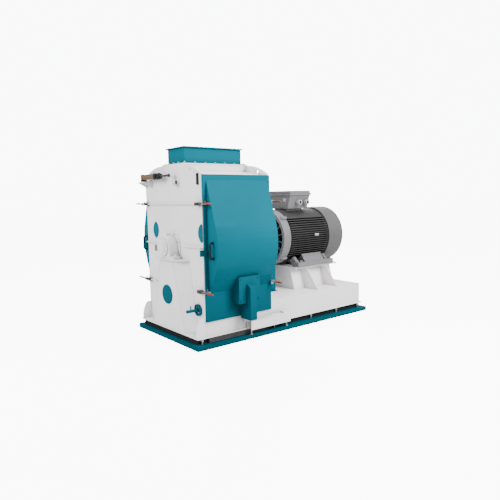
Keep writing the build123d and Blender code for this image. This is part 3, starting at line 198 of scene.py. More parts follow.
def bare_metal(name, rgb, roughness, metallic=1.0, stretch=(1, 1, 1), spots=0.25, dark=(0.12, 0.10, 0.09)):
    """Turned, plated or worn metal with fine lines and darker stains."""
    s = Shader(name)
    lines = s.noise(240.0, 3.0, stretch)
    stain = s.math("MULTIPLY", s.span(s.noise(16.0, 6.0), 0.5, 0.75), spots)
    colour = s.mix(s.span(lines, 0.3, 0.7), tint(rgb, 0.86), tint(rgb, 1.08))
    colour = s.mix(stain, colour, (*dark, 1.0))
    s.bump(lines, 0.3, 0.0003)
    return s.finish(colour, s.span(lines, 0.25, 0.75, roughness - 0.08, roughness + 0.12), metallic)


def moulded(name, rgb, roughness, grain=420.0, depth=0.0005, scuff=0.3):
    """Rubber or plastic with a fine skin and paler scuffed edges."""
    s = Shader(name)
    colour = s.mix(s.span(s.noise(20.0, 4.0), 0.35, 0.7), tint(rgb, 0.85), tint(rgb, 1.1))
    rub = s.math("MULTIPLY", s.edges(0.002), scuff)
    colour = s.mix(rub, colour, (*[0.5 * channel + 0.25 for channel in rgb], 1.0))
    s.bump(s.noise(grain, 3.0), 0.4, depth)
    sheen = s.span(s.noise(30.0, 3.0), 0.3, 0.7, roughness - 0.06, roughness + 0.1)
    return s.finish(colour, sheen, shine=0.25)


def finned_iron(name, rgb, shaft_height, core_radius):
    """Grey enamel on the fins' tips, and near black down between them: dark dust and painted shade in the
    gaps.
    """
    s = Shader(name)
    parts = s.add("ShaderNodeSeparateXYZ", Vector=s.place)
    height = s.math("SUBTRACT", parts.outputs["Z"], shaft_height)
    square = s.math("ADD", s.math("POWER", parts.outputs["Y"], 2.0), s.math("MULTIPLY", height, height))
    out = s.span(s.math("SQRT", square), core_radius, core_radius + 0.03)
    colour = s.mix(s.span(s.noise(5.0, 4.0), 0.3, 0.7), tint(rgb, 0.92), tint(rgb, 1.06))
    # Near black inside core_radius + 0.03 paints dust and shade down between the fins.
    colour = s.mix(out, (0.010, 0.009, 0.009, 1.0), colour)
    s.bump(s.noise(150.0, 4.0), 0.5, 0.0006)
    return s.finish(colour, s.span(s.noise(30.0, 3.0), 0.3, 0.7, 0.42, 0.58))


# corner_shade paints shade into each enamel's hollows.
# low=0.75 paints the teal darker towards the floor, as painted shade.
TEAL = enamel("teal_enamel", (0.0, 0.124, 0.172), 0.52, worn=(0.01, 0.19, 0.25), wear=0.35, corner_shade=0.5,
              shine=0.03, low=0.75)
WHITE = enamel("white_enamel", (0.90, 0.872, 0.876), 0.42, worn=(0.46, 0.44, 0.42), wear=0.3, corner_shade=0.45,
               shine=0.3)
GREY = enamel("motor_enamel", (0.175, 0.172, 0.182), 0.46, worn=(0.27, 0.27, 0.27), wear=0.35, corner_shade=0.6,
              grain=190.0, depth=0.0006, shine=0.3)
COWL_GREY = enamel("cowl_enamel", (0.090, 0.088, 0.090), 0.40, worn=(0.30, 0.30, 0.30), wear=0.4, corner_shade=0.4,
                   shine=0.4)
FINS = finned_iron("finned_enamel", (0.047, 0.044, 0.045), SHAFT_Z, CORE_R)
ZINC = bare_metal("zinc_plate", (0.42, 0.41, 0.40), 0.38)
TURNED = bare_metal("turned_steel", (0.34, 0.34, 0.35), 0.28, stretch=(8, 1, 1), spots=0.15)
IRON = bare_metal("dark_iron", (0.060, 0.057, 0.055), 0.5, metallic=0.6, spots=0.5, dark=(0.05, 0.028, 0.02))
BRASS = bare_metal("brass", (0.30, 0.20, 0.10), 0.36, spots=0.2)
# Dark rubber for the sleeve, made darker so that it also paints the shade in the gap under the mill base.
RUBBER_AND_SHADE = moulded("sleeve_rubber_and_shade", (0.055, 0.055, 0.060), 0.65)
# Near-black rubber for the isolator strips, dark enough to also paint the deep shade in the gap between mill
# base and frame.
STRIP_AND_SHADE = moulded("strip_rubber_and_shade", (0.004, 0.005, 0.006), 0.8, scuff=0.05)
BLACK = moulded("black_plastic", (0.004, 0.006, 0.009), 0.42)
ORANGE = moulded("dipped_vinyl", (0.24, 0.046, 0.014), 0.45, grain=260.0, scuff=0.2)
LABEL = moulded("blank_plate", (0.50, 0.49, 0.48), 0.4, scuff=0.1)
PLATE_GREY = moulded("blank_name_plate", (0.20, 0.19, 0.17), 0.4, scuff=0.2)


# ---- mesh helpers -------------------------------------------------------
def make(name, bm, material, body, stands_for=()):
    """Turns a bmesh into a named piece that rides on a body."""
    bmesh.ops.recalc_face_normals(bm, faces=bm.faces)
    mesh = bpy.data.meshes.new(name)
    bm.to_mesh(mesh)
    bm.free()
    mesh.shade_smooth()
    mesh.set_sharp_from_angle(angle=SHARP_ANGLE)
    mesh.materials.append(material)
    piece = bpy.data.objects.new(name, mesh)
    bpy.context.scene.collection.objects.link(piece)
    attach(piece, body)
    if stands_for:
        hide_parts(*stands_for)
    return piece


def across(axis):
    """Two directions at right angles to an axis."""
    side = axis.cross(Z if abs(axis.z) < 0.9 else X).normalized()
    return side, axis.cross(side).normalized()


def add_rings(bm, rings):
    """Skins rings of points one after another and closes both ends."""
    made = [[bm.verts.new(point) for point in ring] for ring in rings]
    for low, high in zip(made, made[1:]):
        for i in range(len(low)):
            k = (i + 1) % len(low)
            bm.faces.new((low[i], low[k], high[k], high[i]))
    bm.faces.new(list(reversed(made[0])))
    bm.faces.new(made[-1])


def lathe(bm, start, axis, profile, sides=32):
    """Turned solid: profile is a list of (distance along the axis, radius)."""
    u, v = across(axis)
    rings = []
    for along, radius in profile:
        turn = [2 * math.pi * i / sides for i in range(sides)]
        rings.append([start + axis * along + (u * math.cos(a) + v * math.sin(a)) * radius for a in turn])
    add_rings(bm, rings)


def sweep(bm, path, radius, sides=14, flat=1.0):
    """Tube along a path. radius may be a function of the share of the way along."""
    rings = []
    side = None
    for i, point in enumerate(path):
        ahead = path[min(i + 1, len(path) - 1)] - path[max(i - 1, 0)]
        ahead.normalize()
        side = across(ahead)[0] if side is None else (side - ahead * side.dot(ahead)).normalized()
        up = ahead.cross(side)
        share = i / (len(path) - 1)
        r = radius(share) if callable(radius) else radius
        turn = [2 * math.pi * k / sides for k in range(sides)]
        rings.append([point + side * (r * math.cos(a)) + up * (r * flat * math.sin(a)) for a in turn])
    add_rings(bm, rings)


def rounded(points, radius, steps=6):
    """Path with each inner corner turned into a short curve."""
    path = [points[0]]
    for before, corner, after in zip(points, points[1:], points[2:]):
        start = corner + (before - corner).normalized() * radius
        end = corner + (after - corner).normalized() * radius
        for i in range(steps + 1):
            t = i / steps
            path.append(start * (1 - t) ** 2 + corner * (2 * t * (1 - t)) + end * t ** 2)
    return path + [points[-1]]


def straight(a, b, count):
    """Evenly spaced points from a to b."""
    return [a.lerp(b, i / (count - 1)) for i in range(count)]


def soft_box(bm, low, high, radius=0.002, segments=2):
    """Box with rounded edges."""
    made = bmesh.ops.create_cube(bm, size=1.0)["verts"]
    size, centre = high - low, (high + low) / 2
    for vert in made:
        vert.co = Vector(vert.co[i] * abs(size[i]) + centre[i] for i in range(3))
    edges = dict.fromkeys(edge for vert in made for edge in vert.link_edges)
    bmesh.ops.bevel(bm, geom=list(edges), offset=radius, segments=segments, affect="EDGES", profile=0.5)


def flat_plate(bm, outline, origin, u, v, thickness, radius=0.0012):
    """Plate from an outline in the (u, v) plane, with its edges rounded."""
    normal = u.cross(v)
    low = [bm.verts.new(origin + u * a + v * b) for a, b in outline]
    high = [bm.verts.new(origin + u * a + v * b + normal * thickness) for a, b in outline]
    faces = [bm.faces.new(list(reversed(low))), bm.faces.new(high)]
    for i in range(len(low)):
        k = (i + 1) % len(low)
        faces.append(bm.faces.new((low[i], low[k], high[k], high[i])))
    edges = dict.fromkeys(edge for face in faces[:2] for edge in face.edges)
    bmesh.ops.bevel(bm, geom=list(edges), offset=radius, segments=2, affect="EDGES", profile=0.5)


def hex_head(bm, seat, axis, radius, height, washer=1.35):
    """Bolt head with a chamfered top, on a washer."""
    thin = 0.18 * height
    lathe(bm, seat, axis, [(0, radius * washer), (thin, radius * washer)], 24)
    lathe(bm, seat, axis, [(thin, radius), (height * 0.85, radius), (height, radius * 0.82)], 6)


def round_head(bm, seat, axis, radius, height):
    """Low domed screw head."""
    lathe(bm, seat, axis, [(0, radius), (height * 0.5, radius * 0.95), (height * 0.85, radius * 0.7),
                           (height, radius * 0.25)], 16)


def weld(bm, a, b, radius=0.004, pitch=0.007):
    """Bead with the overlapping ripples of a hand weld."""
    count = max(4, int((b - a).length / pitch) * 2)
    path = straight(a, b, count)
    sweep(bm, path, lambda share: radius * (0.86 + 0.14 * (round(share * (count - 1)) % 2)), sides=8)


# ---- CAD nodes: materials and rounded edges -----------------------------
NODE_LOOKS = {
    TEAL: ["base_frame", "inlet_spout", "coupling_guard", "lock_spindle", "near_door_panel", "far_door_panel",
           "near_door_carriage", "far_door_carriage"],
    WHITE: ["mill_base", "motor_base_beam", "motor_pedestal", "front_wall", "rear_wall", "hood",
            "bearing_stands", "bearing_housings", "bearing_caps", "door_rails", "cylinder_shelf"],
    GREY: ["motor_feet", "terminal_box", "terminal_lid"],
    COWL_GREY: ["fan_cowl"],
    FINS: ["motor_frame"],
    ZINC: ["steel_bolts", "inlet_bolts", "near_door_fittings", "far_door_fittings"],
    TURNED: ["rotor_shaft", "hammer_pins"],
    IRON: ["clamp_mounts", "screens", "screen_frames", "motor_stator", "rotor_discs", "coupling",
           "motor_rotor", "hammer_row_1", "hammer_row_2", "hammer_row_3", "hammer_row_4"],
    RUBBER_AND_SHADE: ["discharge_sleeve"],
    STRIP_AND_SHADE: ["isolator_strips"],
}
EDGE_ROUND = {
    "near_door_panel": 0.003, "far_door_panel": 0.003, "inlet_spout": 0.0025, "front_wall": 0.003,
    "rear_wall": 0.003, "mill_base": 0.002, "motor_base_beam": 0.004, "motor_pedestal": 0.002,
    "bearing_stands": 0.003, "bearing_housings": 0.006, "terminal_box": 0.004, "terminal_lid": 0.005,
    "base_frame": 0.003, "door_rails": 0.003,
}


def dress_nodes():
    for material, names in NODE_LOOKS.items():
        for name in names:
            materials = frame["nodes"][name].data.materials
            materials.clear()
            materials.append(material)


def round_edges():
    for name, width in EDGE_ROUND.items():
        node = frame["nodes"][name]
        join = node.modifiers.new("join", "WELD")
        join.merge_threshold = 0.00002
        soften = node.modifiers.new("soften", "BEVEL")
        soften.width = width
        soften.segments = 2
        soften.limit_method = "ANGLE"
        soften.angle_limit = SHARP_ANGLE
        soften.harden_normals = True


def dress_by_place(name, looks):
    """Gives each polygon the first look whose test its centre passes."""
    mesh = frame["nodes"][name].data
    mesh.materials.clear()
    for material, _ in looks:
        mesh.materials.append(material)
    for polygon in mesh.polygons:
        tests = [test(polygon.center) for _, test in looks]
        polygon.material_index = tests.index(True)


def in_gland(c):
    return (c.z - GLAND_Z) ** 2 + min((c.x - x) ** 2 for x in GLAND_X) < GLAND_BORE ** 2


def dress_mixed_nodes():
    """Nodes that group parts of different materials."""
    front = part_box("front_wall")[0].x
    dress_by_place("wall_trim", [
        (BLACK, lambda c: c.z > 1.55),
        (PLATE_GREY, lambda c: 0.88 < c.z < 0.98 and c.y > 0),
        (TEAL, lambda c: True),
    ])
    dress_by_place("cable_glands", [
        (BLACK, in_gland),
        (LABEL, lambda c: True),
    ])
    # The shield's floor between the ribs is painted black as shade in the recess; hub and ribs stay grey.
    dress_by_place("end_shields", [
        (BLACK, lambda c: abs(c.x - SHIELD_FLOOR) < 0.0015),
        (GREY, lambda c: True),
    ])
    dress_by_place("shaft_bearings", [(WHITE, lambda c: c.z > 1.5), (TURNED, lambda c: True)])
    dress_by_place("inlet_flap", [(WHITE, lambda c: c.x < front), (IRON, lambda c: True)])


# ---- clamps -------------------------------------------------------------
FRONT_GRIP = (0.078, 0.1955)
REAR_GRIP = (0.040, 0.1325)
GRIP_STEPS = 23
GRIP_LIFT = 0.0035
TOGGLE_BAR = [(-0.010, -0.010), (0.010, -0.010), (0.012, 0.030), (0.007, 0.084), (-0.006, 0.084),
              (-0.012, 0.030)]
TOGGLE_ARM = [(-0.008, 0.024), (0.064, 0.026), (0.064, 0.038), (-0.008, 0.042)]
ARM_LINE = 0.031
SPINDLE_ALONG = 0.056
THREAD_PITCH = 0.0012
THREAD_TURNS = 34
HOOK = [(0.014, -0.008), (0.014, 0.008), (0.004, 0.020), (-0.096, 0.020), (-0.100, 0.016),
        (-0.100, -0.010), (-0.092, -0.010), (-0.092, 0.008), (-0.070, 0.008), (-0.062, -0.004),
        (-0.010, -0.010)]
HOOK_CHEEK = [(0.0, -0.010), (0.060, -0.006), (0.060, 0.006), (0.0, 0.010)]


def local(origin, along, out, up):
    """Maps a point in a clamp's own directions into the frame."""
    return lambda a, o, u: origin + along * a + out * o + up * u


def grip_radius(share):
    """Dipped grip: a neck, a swell for the palm and a rounded tip."""
    swell = 0.0095 + 0.0022 * math.sin(math.pi * min(1.0, share * 1.05))
    tip = math.sqrt(max(0.04, 1 - max(0.0, (share - 0.9) / 0.1) ** 2))
    neck = min(1.0, 0.72 + 3.0 * share)
    return swell * tip * neck


def clamp_handle(spot, name, body, reach):
    """Orange dipped grip, slightly bowed."""
    grip = bmesh.new()
    start, end = reach
    shares = [i / GRIP_STEPS for i in range(GRIP_STEPS + 1)]
    path = [spot(0, start + (end - start) * t, GRIP_LIFT * math.sin(math.pi * t)) for t in shares]
    sweep(grip, path, grip_radius, 18, 0.78)
    make(f"{name}_grip", grip, ORANGE, body)


def clamp_pivots(spot, name, body, axis, places, reach):
    """Black rivets through the links."""
    pins = bmesh.new()
    length, chamfer = 2 * reach, 0.0015
    profile = [(0, 0.0035), (chamfer, 0.0052), (length - chamfer, 0.0052), (length, 0.0035)]
    for along, out in places:
        lathe(pins, spot(along, out, 0) - axis * reach, axis, profile, 18)
    make(f"{name}_pivots", pins, BLACK, body)


def front_clamp(side, level, sign):
    """Push toggle: plates, arm, and a threaded spindle with a rubber tip on the door."""
    name = f"{side}_front_{level}"
    body = f"{name}_lever"
    pivot = Vector(JOINTS[f"{name}_clamp_turn"]["pos_m"])
    spot = local(pivot, X, Y * sign, Z)
    links = bmesh.new()
    for height in (-0.0065, 0.0040):
        flat_plate(links, TOGGLE_BAR, spot(0, 0, height), X, Y * sign, 0.0025 * sign, 0.0008)
    for height in (-0.0030, 0.0010):
        flat_plate(links, TOGGLE_ARM, spot(0, 0, height), X, Y * sign, 0.0022 * sign, 0.0006)
    make(f"{name}_clamp_links", links, ZINC, body, [f"{name}_clamp"])
    spindle = bmesh.new()
    thread = [(0.0002 + THREAD_PITCH * i, 0.0042 if i % 2 else 0.0036) for i in range(THREAD_TURNS)]
    lathe(spindle, spot(SPINDLE_ALONG, 0.024, 0), Y * sign, thread, 16)
    for seat in (0.022, 0.040):
        lathe(spindle, spot(SPINDLE_ALONG, seat, 0), Y * sign, [(0, 0.0072), (0.004, 0.0072)], 6)
    for along in (0.020, 0.046):
        lathe(spindle, spot(along, ARM_LINE, -0.012), Z, [(0, 0.0036), (0.034, 0.0036)], 14)
        lathe(spindle, spot(along, ARM_LINE, 0.006), Z, [(0, 0.0075), (0.006, 0.0075)], 6)
        lathe(spindle, spot(along, ARM_LINE, 0.022), Z, [(0, 0.0070), (0.0055, 0.0070), (0.007, 0.005)], 6)
    make(f"{name}_clamp_spindle", spindle, TURNED, body)
    tip = bmesh.new()
    lathe(tip, spot(SPINDLE_ALONG, 0.0195, 0), Y * sign, [(0, 0.0066), (0.0015, 0.008), (0.006, 0.006)], 20)
    make(f"{name}_clamp_tip", tip, BLACK, body)
    clamp_handle(spot, f"{name}_clamp", body, FRONT_GRIP)
    clamp_pivots(spot, f"{name}_clamp", body, Z, [(0, 0), (0, 0.033), (0.004, 0.062)], 0.0125)


def rear_clamp(side, level, sign):
    """Hook toggle on the door's trailing edge, over the keeper pin on the rear wall."""
    name = f"{side}_rear_{level}"
    body = f"{name}_lever"
    pivot = Vector(JOINTS[f"{name}_clamp_turn"]["pos_m"])
    pivot.x = sum(corner.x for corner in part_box(f"{name}_clamp")) / 2
    spot = local(pivot, X, Y * sign, Z)
    hook = bmesh.new()
    flat_plate(hook, HOOK, spot(-0.005, 0, 0), Y * sign, Z, 0.010 * sign, 0.0012)
    for offset in (-0.006, 0.0035):
        flat_plate(hook, HOOK_CHEEK, spot(offset, 0, 0), Y * sign, Z, 0.0025 * sign, 0.0008)
    make(f"{name}_clamp_hook", hook, ZINC, body, [f"{name}_clamp"])
    clamp_handle(spot, f"{name}_clamp", body, REAR_GRIP)
    clamp_pivots(spot, f"{name}_clamp", body, X, [(0, 0.022), (0, 0.040)], 0.0062)


# ---- door handles -------------------------------------------------------
HANDLE_BAR = 0.010
HANDLE_BEND = 0.022
BEND_STEPS = 8


def door_handle(side):
    """Black bridge handle, one bent bar with two feet on the bulge's side."""
    low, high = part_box(f"{side}_door_handle")
    bar = HANDLE_BAR
    grip_x, foot_x = low.x + bar, high.x
    y = (low.y + high.y) / 2
    bottom, top = low.z + bar, high.z - bar
    corners = [Vector((foot_x, y, bottom)), Vector((grip_x, y, bottom)), Vector((grip_x, y, top)),
               Vector((foot_x, y, top))]
    path = rounded(corners, HANDLE_BEND, BEND_STEPS)
    bend_end = BEND_STEPS + 1
    middle = straight(path[bend_end], path[bend_end + 1], 12)
    path = path[:bend_end] + middle + path[bend_end + 2:]
    shape = bmesh.new()
    sweep(shape, path, lambda t: bar * (0.9 + 0.1 * math.sin(math.pi * t)), 18)
    for z in (bottom, top):
        lathe(shape, Vector((foot_x - 0.006, y, z)), X, [(0, 0.012), (0.003, 0.015), (0.006, 0.015)], 20)
    make(f"{side}_bridge_handle", shape, BLACK, f"{side}_door", [f"{side}_door_handle"])


# ---- flap cylinder ------------------------------------------------------
def flap_cylinder():
    """Air cylinder: square caps, tinted barrel, tie rods, foot, and its valve with two knobs."""
    low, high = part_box("flap_cylinder")
    x = (low.x + high.x) / 2
    z = high.z - 0.035
    half = 0.033
    rear_cap, front_cap = CYLINDER_REAR_CAP, CYLINDER_FRONT_CAP
    caps = bmesh.new()
    for y0, y1 in (rear_cap, front_cap):
        soft_box(caps, Vector((x - half, y0, z - half)), Vector((x + half, y1, z + half)), 0.006, 3)
    valve_low = Vector((x - 0.024, low.y, z - 0.028))
    valve_high = Vector((x + 0.024, front_cap[0] - 0.001, z + 0.028))
    soft_box(caps, valve_low, valve_high, 0.005, 3)
    knob = [(0, 0.008), (0.004, 0.010), (0.006, 0.010), (0.009, 0.007)]
    for y in (low.y + 0.014, low.y + 0.040):
        lathe(caps, Vector((x, y, z + 0.026)), Z, knob, 20)
    make("cylinder_caps", caps, BLACK, "frame", ["flap_cylinder"])
    barrel = bmesh.new()
    tube = [(0, 0.030), (0.006, 0.030), (0.008, 0.028), (0.247, 0.028), (0.249, 0.030), (0.255, 0.030)]
    lathe(barrel, Vector((x, front_cap[1], z)), Y, tube, 40)
    make("cylinder_barrel", barrel, BRASS, "frame")
    rods = bmesh.new()
    for dx in (-0.025, 0.025):
        for dz in (-0.025, 0.025):
            start = Vector((x + dx, front_cap[0] - 0.003, z + dz))
            lathe(rods, start, Y, [(0, 0.0034), (rear_cap[1] - front_cap[0] + 0.003, 0.0034)], 12)
            nut = [(0, 0.006), (0.0, 0.0062), (0.001, 0.0062)]
            lathe(rods, Vector((x + dx, rear_cap[1], z + dz)), Y, nut, 6)
    port = [(0, 0.007), (0.006, 0.007), (0.007, 0.005), (0.013, 0.005)]
    lathe(rods, Vector((x, low.y + 0.026, z - 0.028)), -Z, port, 6)
    make("cylinder_tie_rods", rods, ZINC, "frame")
    foot = bmesh.new()
    base = low.z
    soft_box(foot, Vector((x - half, 0.425, base)), Vector((x + half, 0.482, base + 0.006)), 0.0015)
    soft_box(foot, Vector((x - half, 0.474, base)), Vector((x + half, 0.4818, z - half + 0.004)), 0.0015)
    for dx in (-0.02, 0.02):
        hex_head(foot, Vector((x + dx, 0.448, base + 0.006)), Z, 0.006, 0.007)
    make("cylinder_foot", foot, IRON, "frame")


def piston_rod():
    """Rod with a lock nut and a round eye on the lever's pin."""
    low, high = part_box("piston_rod")
    x = sum(corner.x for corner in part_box("flap_cylinder")) / 2
    z = (low.z + high.z) / 2
    eye_y = low.y + 0.017
    rod = bmesh.new()
    bar = [(0, 0.007), (0.030, 0.007), (0.032, 0.0095), (0.335, 0.0095)]
    lathe(rod, Vector((x, eye_y + 0.016, z)), Y, bar, 24)
    lathe(rod, Vector((x, eye_y + 0.022, z)), Y, [(0, 0.013), (0.010, 0.013)], 6)
    lathe(rod, Vector((low.x, eye_y, z)), X, [(0, 0.0045), (0.001, 0.006), (high.x - low.x, 0.006)], 20)
    for side in (-1, 1):
        lathe(rod, Vector((x - 0.001 + 0.0055 * side, eye_y, z)), X * side,
              [(-0.005, 0.0170), (0.0005, 0.0170), (0.0015, 0.0155), (0.0015, 0.0120)], 32)
    make("rod_and_eye", rod, IRON, "cylinder_rod", ["piston_rod"])


# ---- housing details ----------------------------------------------------
def shaft_flange():
    """Round seal flange on the front wall behind the bearing, and its screws."""
    centre = Vector((WALL_FACE, 0, SHAFT_Z))
    ring = bmesh.new()
    lathe(ring, centre, -X, [(0, 0.150), (0.012, 0.150), (0.015, 0.147), (0.015, 0.064), (0.0, 0.064)], 64)
    make("shaft_seal_flange", ring, WHITE, "frame")
    screws = bmesh.new()
    for i in range(8):
        angle = math.radians(45 * i + 22.5)
        seat = centre + Vector((-0.015, 0.134 * math.cos(angle), 0.134 * math.sin(angle)))
        hex_head(screws, seat, -X, 0.0065, 0.007)
    make("seal_flange_screws", screws, ZINC, "frame")


def bearing_details():
    """Grease nipples on both housings."""
    nipples = bmesh.new()
    nipple = [(0, 0.007), (0.005, 0.007), (0.006, 0.004), (0.012, 0.004), (0.015, 0.005), (0.018, 0.0025)]
    for x in HOUSING_X:
        lathe(nipples, Vector((x, 0, SHAFT_Z + HOUSING_R - 0.0005)), Z, nipple, 12)
    make("grease_nipples", nipples, BRASS, "frame")


def corners(low, high, inset):
    (x0, y0), (x1, y1) = low, high
    x0, y0, x1, y1 = x0 + inset, y0 + inset, x1 - inset, y1 - inset
    return [(x0, y0), (x1, y0), (x1, y1), (x0, y1)]


def spout_details():
    """Dark flange seal on the spout's lip."""
    plate = bmesh.new()
    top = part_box("inlet_spout")[1].z - 0.0005
    outer, inner = corners(*SPOUT_LIP, 0.001), corners(*SPOUT_OPENING, 0)
    rings = []
    for z in (top - 0.0012, top):
        rings.append([[plate.verts.new((x, y, z)) for x, y in outline] for outline in (outer, inner)])
    (low_out, low_in), (high_out, high_in) = rings
    for i in range(4):
        k = (i + 1) % 4
        plate.faces.new((high_out[i], high_out[k], high_in[k], high_in[i]))
        plate.faces.new((low_out[k], low_out[i], low_in[i], low_in[k]))
        plate.faces.new((low_out[i], low_out[k], high_out[k], high_out[i]))
        plate.faces.new((high_in[i], high_in[k], low_in[k], low_in[i]))
    make("spout_lip_seal", plate, BLACK, "frame")


def stand_welds():
    """Beads where the stands, gussets and pedestal meet the plates under them."""
    beads = bmesh.new()
    foot, upright = BASE_TOP + 0.004, STAND_TOP - 0.002
    on_base, on_beam = BASE_TOP + 0.002, BEAM_TOP + 0.0015
    (front_low, rear_low), (front_high, rear_high) = STAND_HALF_LOW, STAND_HALF_HIGH
    x0, x1 = PEDESTAL_X
    front, rear = STAND_FACE - 0.0002, WALL_FACE - 0.0015
    web = PEDESTAL_HALF + 0.001

    def bead(a, b, radius=0.003):
        weld(beads, Vector(a), Vector(b), radius)

    for y in (-1, 1):
        bead((STAND_FACE, front_low * y, on_base), (WALL_FACE, rear_low * y, on_base), 0.004)
        bead((front, (front_low - 0.001) * y, foot), (front, (front_high + 0.001) * y, upright))
        bead((rear, (rear_low - 0.001) * y, foot), (rear, (rear_high + 0.001) * y, upright))
        for x in [gusset + side for gusset in GUSSET_X for side in (0, PLATE)]:
            bead((x, PEDESTAL_HALF * y, on_beam), (x, (GUSSET_HALF - 0.002) * y, on_beam))
        bead((x0 + 0.002, web * y, on_beam), (x1 - 0.002, web * y, on_beam))
    bead((STAND_FACE - 0.0015, -front_low, on_base), (STAND_FACE - 0.0015, front_low, on_base), 0.004)
    for x in (x0 - 0.001, x1 + 0.001):
        bead((x, 0.002 - PEDESTAL_HALF, on_beam), (x, PEDESTAL_HALF - 0.002, on_beam))
    make("weld_beads", beads, WHITE, "frame")


def plate_rivets():
    """Small rivets that hold the blank name plate."""
    rivets = bmesh.new()
    for y in (NAME_PLATE_Y[0] + 0.006, NAME_PLATE_Y[1] - 0.006):
        for z in (NAME_PLATE_Z[0] + 0.007, NAME_PLATE_Z[1] - 0.007):
            round_head(rivets, Vector((WALL_FACE - 0.002, y, z)), -X, 0.003, 0.002)
    make("name_plate_rivets", rivets, ZINC, "frame")


# ---- motor details ------------------------------------------------------
def round_shaft(x, radius, degrees):
    """A point on a circle about the shaft."""
    angle = math.radians(degrees)
    return Vector((x, radius * math.cos(angle), SHAFT_Z + radius * math.sin(angle)))


def cowl_details():
    """Screws round the cowl's skirt."""
    low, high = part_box("fan_cowl")
    radius = (high.y - low.y) / 2
    screws = bmesh.new()
    for degrees in (30, 90, 150, 205, 270, 335):
        seat = round_shaft(low.x + 0.050, radius - 0.0035, degrees)
        out = (seat - Vector((seat.x, 0, SHAFT_Z))).normalized()
        round_head(screws, seat, out, 0.008, 0.0034)
    make("cowl_screws", screws, ZINC, "frame")


def shield_bolts():
    """Bolts that hold the drive-end shield to the motor's frame."""
    bolts = bmesh.new()
    for degrees in (45, 135, 225, 315):
        seat = round_shaft(*SHIELD_BOSS, degrees)
        hex_head(bolts, seat, -X, 0.011, 0.012)
    make("end_shield_bolts", bolts, ZINC, "frame")


def terminal_details():
    """Lid screws, black gland seals, and blank labels on the box's end and on the fins."""
    low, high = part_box("terminal_lid")
    screws = bmesh.new()
    for x in (low.x + 0.028, (low.x + high.x - 0.018) / 2, high.x - 0.046):
        for y in (low.y + 0.024, high.y - 0.024):
            round_head(screws, Vector((x, y, high.z - 0.0035)), Z, 0.009, 0.0034)
    make("lid_screws", screws, ZINC, "frame")
    seals = bmesh.new()
    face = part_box("cable_glands")[0].y
    for x in GLAND_X:
        lathe(seals, Vector((x, face - 0.0015, GLAND_Z)), Y, [(0, 0.016), (0.002, 0.020), (0.012, 0.020)], 24)
    make("gland_seals", seals, BLACK, "frame")
    labels = bmesh.new()
    box_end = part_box("terminal_box")[0].x
    soft_box(labels, Vector((box_end - 0.0025, -0.125, 1.405)), Vector((box_end - 0.0002, -0.075, 1.445)),
             0.0008)
    make("box_label", labels, LABEL, "frame")
    tag = bmesh.new()
    soft_box(tag, Vector((0.640, -0.3455, 0.985)), Vector((0.705, -0.3425, 1.010)), 0.0008)
    make("fin_label", tag, LABEL, "frame")


# ---- stage --------------------------------------------------------------
FLOOR_GLOW = 9.0
SKY_LIGHT = 0.95
SKY_SEEN = 10.0
CAMERA_PLACE = Vector((-3.6962, -4.4840, 1.4766))
CAMERA_AHEAD = Vector((0.62071, 0.77637, -0.10943))
CAMERA_ROLL = math.radians(-1.18)
CAMERA_LENS = 34.95


def floor():
    """Pale floor, lifted where the camera sees it so that it meets the backdrop."""
    bm = bmesh.new()
    bmesh.ops.create_circle(bm, cap_ends=True, radius=60.0, segments=96)
    mesh = bpy.data.meshes.new("studio_floor")
    bm.to_mesh(mesh)
    bm.free()
    s = Shader("pale_floor")
    colour = s.mix(s.noise(0.6, 2.0), (0.52, 0.52, 0.53, 1.0), (0.56, 0.56, 0.565, 1.0))
    seen = s.add("ShaderNodeLightPath").outputs["Is Camera Ray"]
    s.surface.inputs["Emission Color"].default_value = (1.0, 1.0, 1.0, 1.0)
    s.feed(s.surface.inputs["Emission Strength"], s.math("MULTIPLY", seen, FLOOR_GLOW))
    s.finish(colour, s.span(s.noise(3.0, 3.0), 0.3, 0.7, 0.16, 0.22))
    mesh.materials.append(s.material)
    ground = bpy.data.objects.new("studio_floor", mesh)
    ground.location.z = -0.0005
    bpy.context.scene.collection.objects.link(ground)


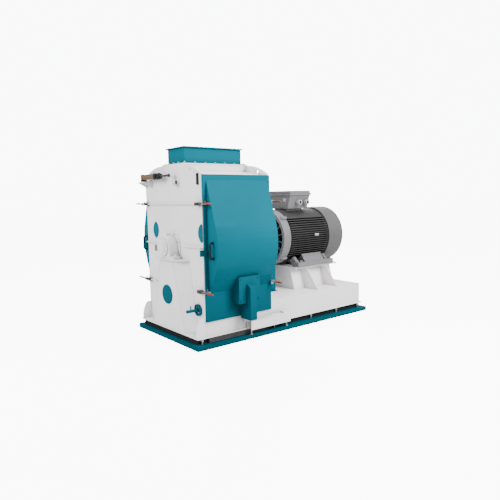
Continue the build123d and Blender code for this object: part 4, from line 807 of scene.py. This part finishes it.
def area_light(name, place, target, size, power):
    """Square soft light aimed at a point."""
    data = bpy.data.lights.new(name, "AREA")
    data.shape = "SQUARE"
    data.size = size
    data.energy = power
    lamp = bpy.data.objects.new(name, data)
    lamp.location = place
    lamp.rotation_euler = (Vector(target) - Vector(place)).to_track_quat("-Z", "Y").to_euler()
    bpy.context.scene.collection.objects.link(lamp)


def studio_light():
    """Four soft lights in a pale room that looks brighter than it shines."""
    area_light("key", (1.6, -5.6, 4.6), (-0.3, 0, 1.1), 3.2, 740)
    area_light("side", (-6.5, 0.8, 3.6), (-0.6, 0, 1.1), 2.6, 380)
    area_light("top", (0.0, 0.4, 6.0), (0, 0, 1.0), 4.0, 260)
    area_light("back", (5.5, 5.0, 4.0), (0, 0, 1.0), 4.0, 90)
    world = bpy.data.worlds.new("studio")
    world.use_nodes = True
    tree = world.node_tree
    backdrop = tree.nodes["Background"]
    backdrop.inputs["Color"].default_value = (0.97, 0.985, 1.0, 1.0)
    path = tree.nodes.new("ShaderNodeLightPath")
    blend = tree.nodes.new("ShaderNodeMapRange")
    blend.inputs["To Min"].default_value = SKY_LIGHT
    blend.inputs["To Max"].default_value = SKY_SEEN
    tree.links.new(path.outputs["Is Camera Ray"], blend.inputs["Value"])
    tree.links.new(blend.outputs[0], backdrop.inputs["Strength"])
    bpy.context.scene.world = world


def camera():
    """At eye height off the mill's near front corner."""
    data = bpy.data.cameras.new("camera")
    data.lens = CAMERA_LENS
    data.sensor_width = 36.0
    eye = bpy.data.objects.new("camera", data)
    level = CAMERA_AHEAD.to_track_quat("-Z", "Y").to_matrix()
    turned = level @ Matrix.Rotation(CAMERA_ROLL, 3, "Z")
    eye.matrix_world = Matrix.Translation(CAMERA_PLACE) @ turned.to_4x4()
    bpy.context.scene.collection.objects.link(eye)
    bpy.context.scene.camera = eye


# ---- the scene ----------------------------------------------------------
camera()
studio_light()
floor()
dress_nodes()
dress_mixed_nodes()
round_edges()
for side, sign in SIDES:
    for level in LEVELS:
        front_clamp(side, level, sign)
        rear_clamp(side, level, sign)
    door_handle(side)
flap_cylinder()
piston_rod()
shaft_flange()
bearing_details()
spout_details()
stand_welds()
plate_rivets()
cowl_details()
shield_bolts()
terminal_details()
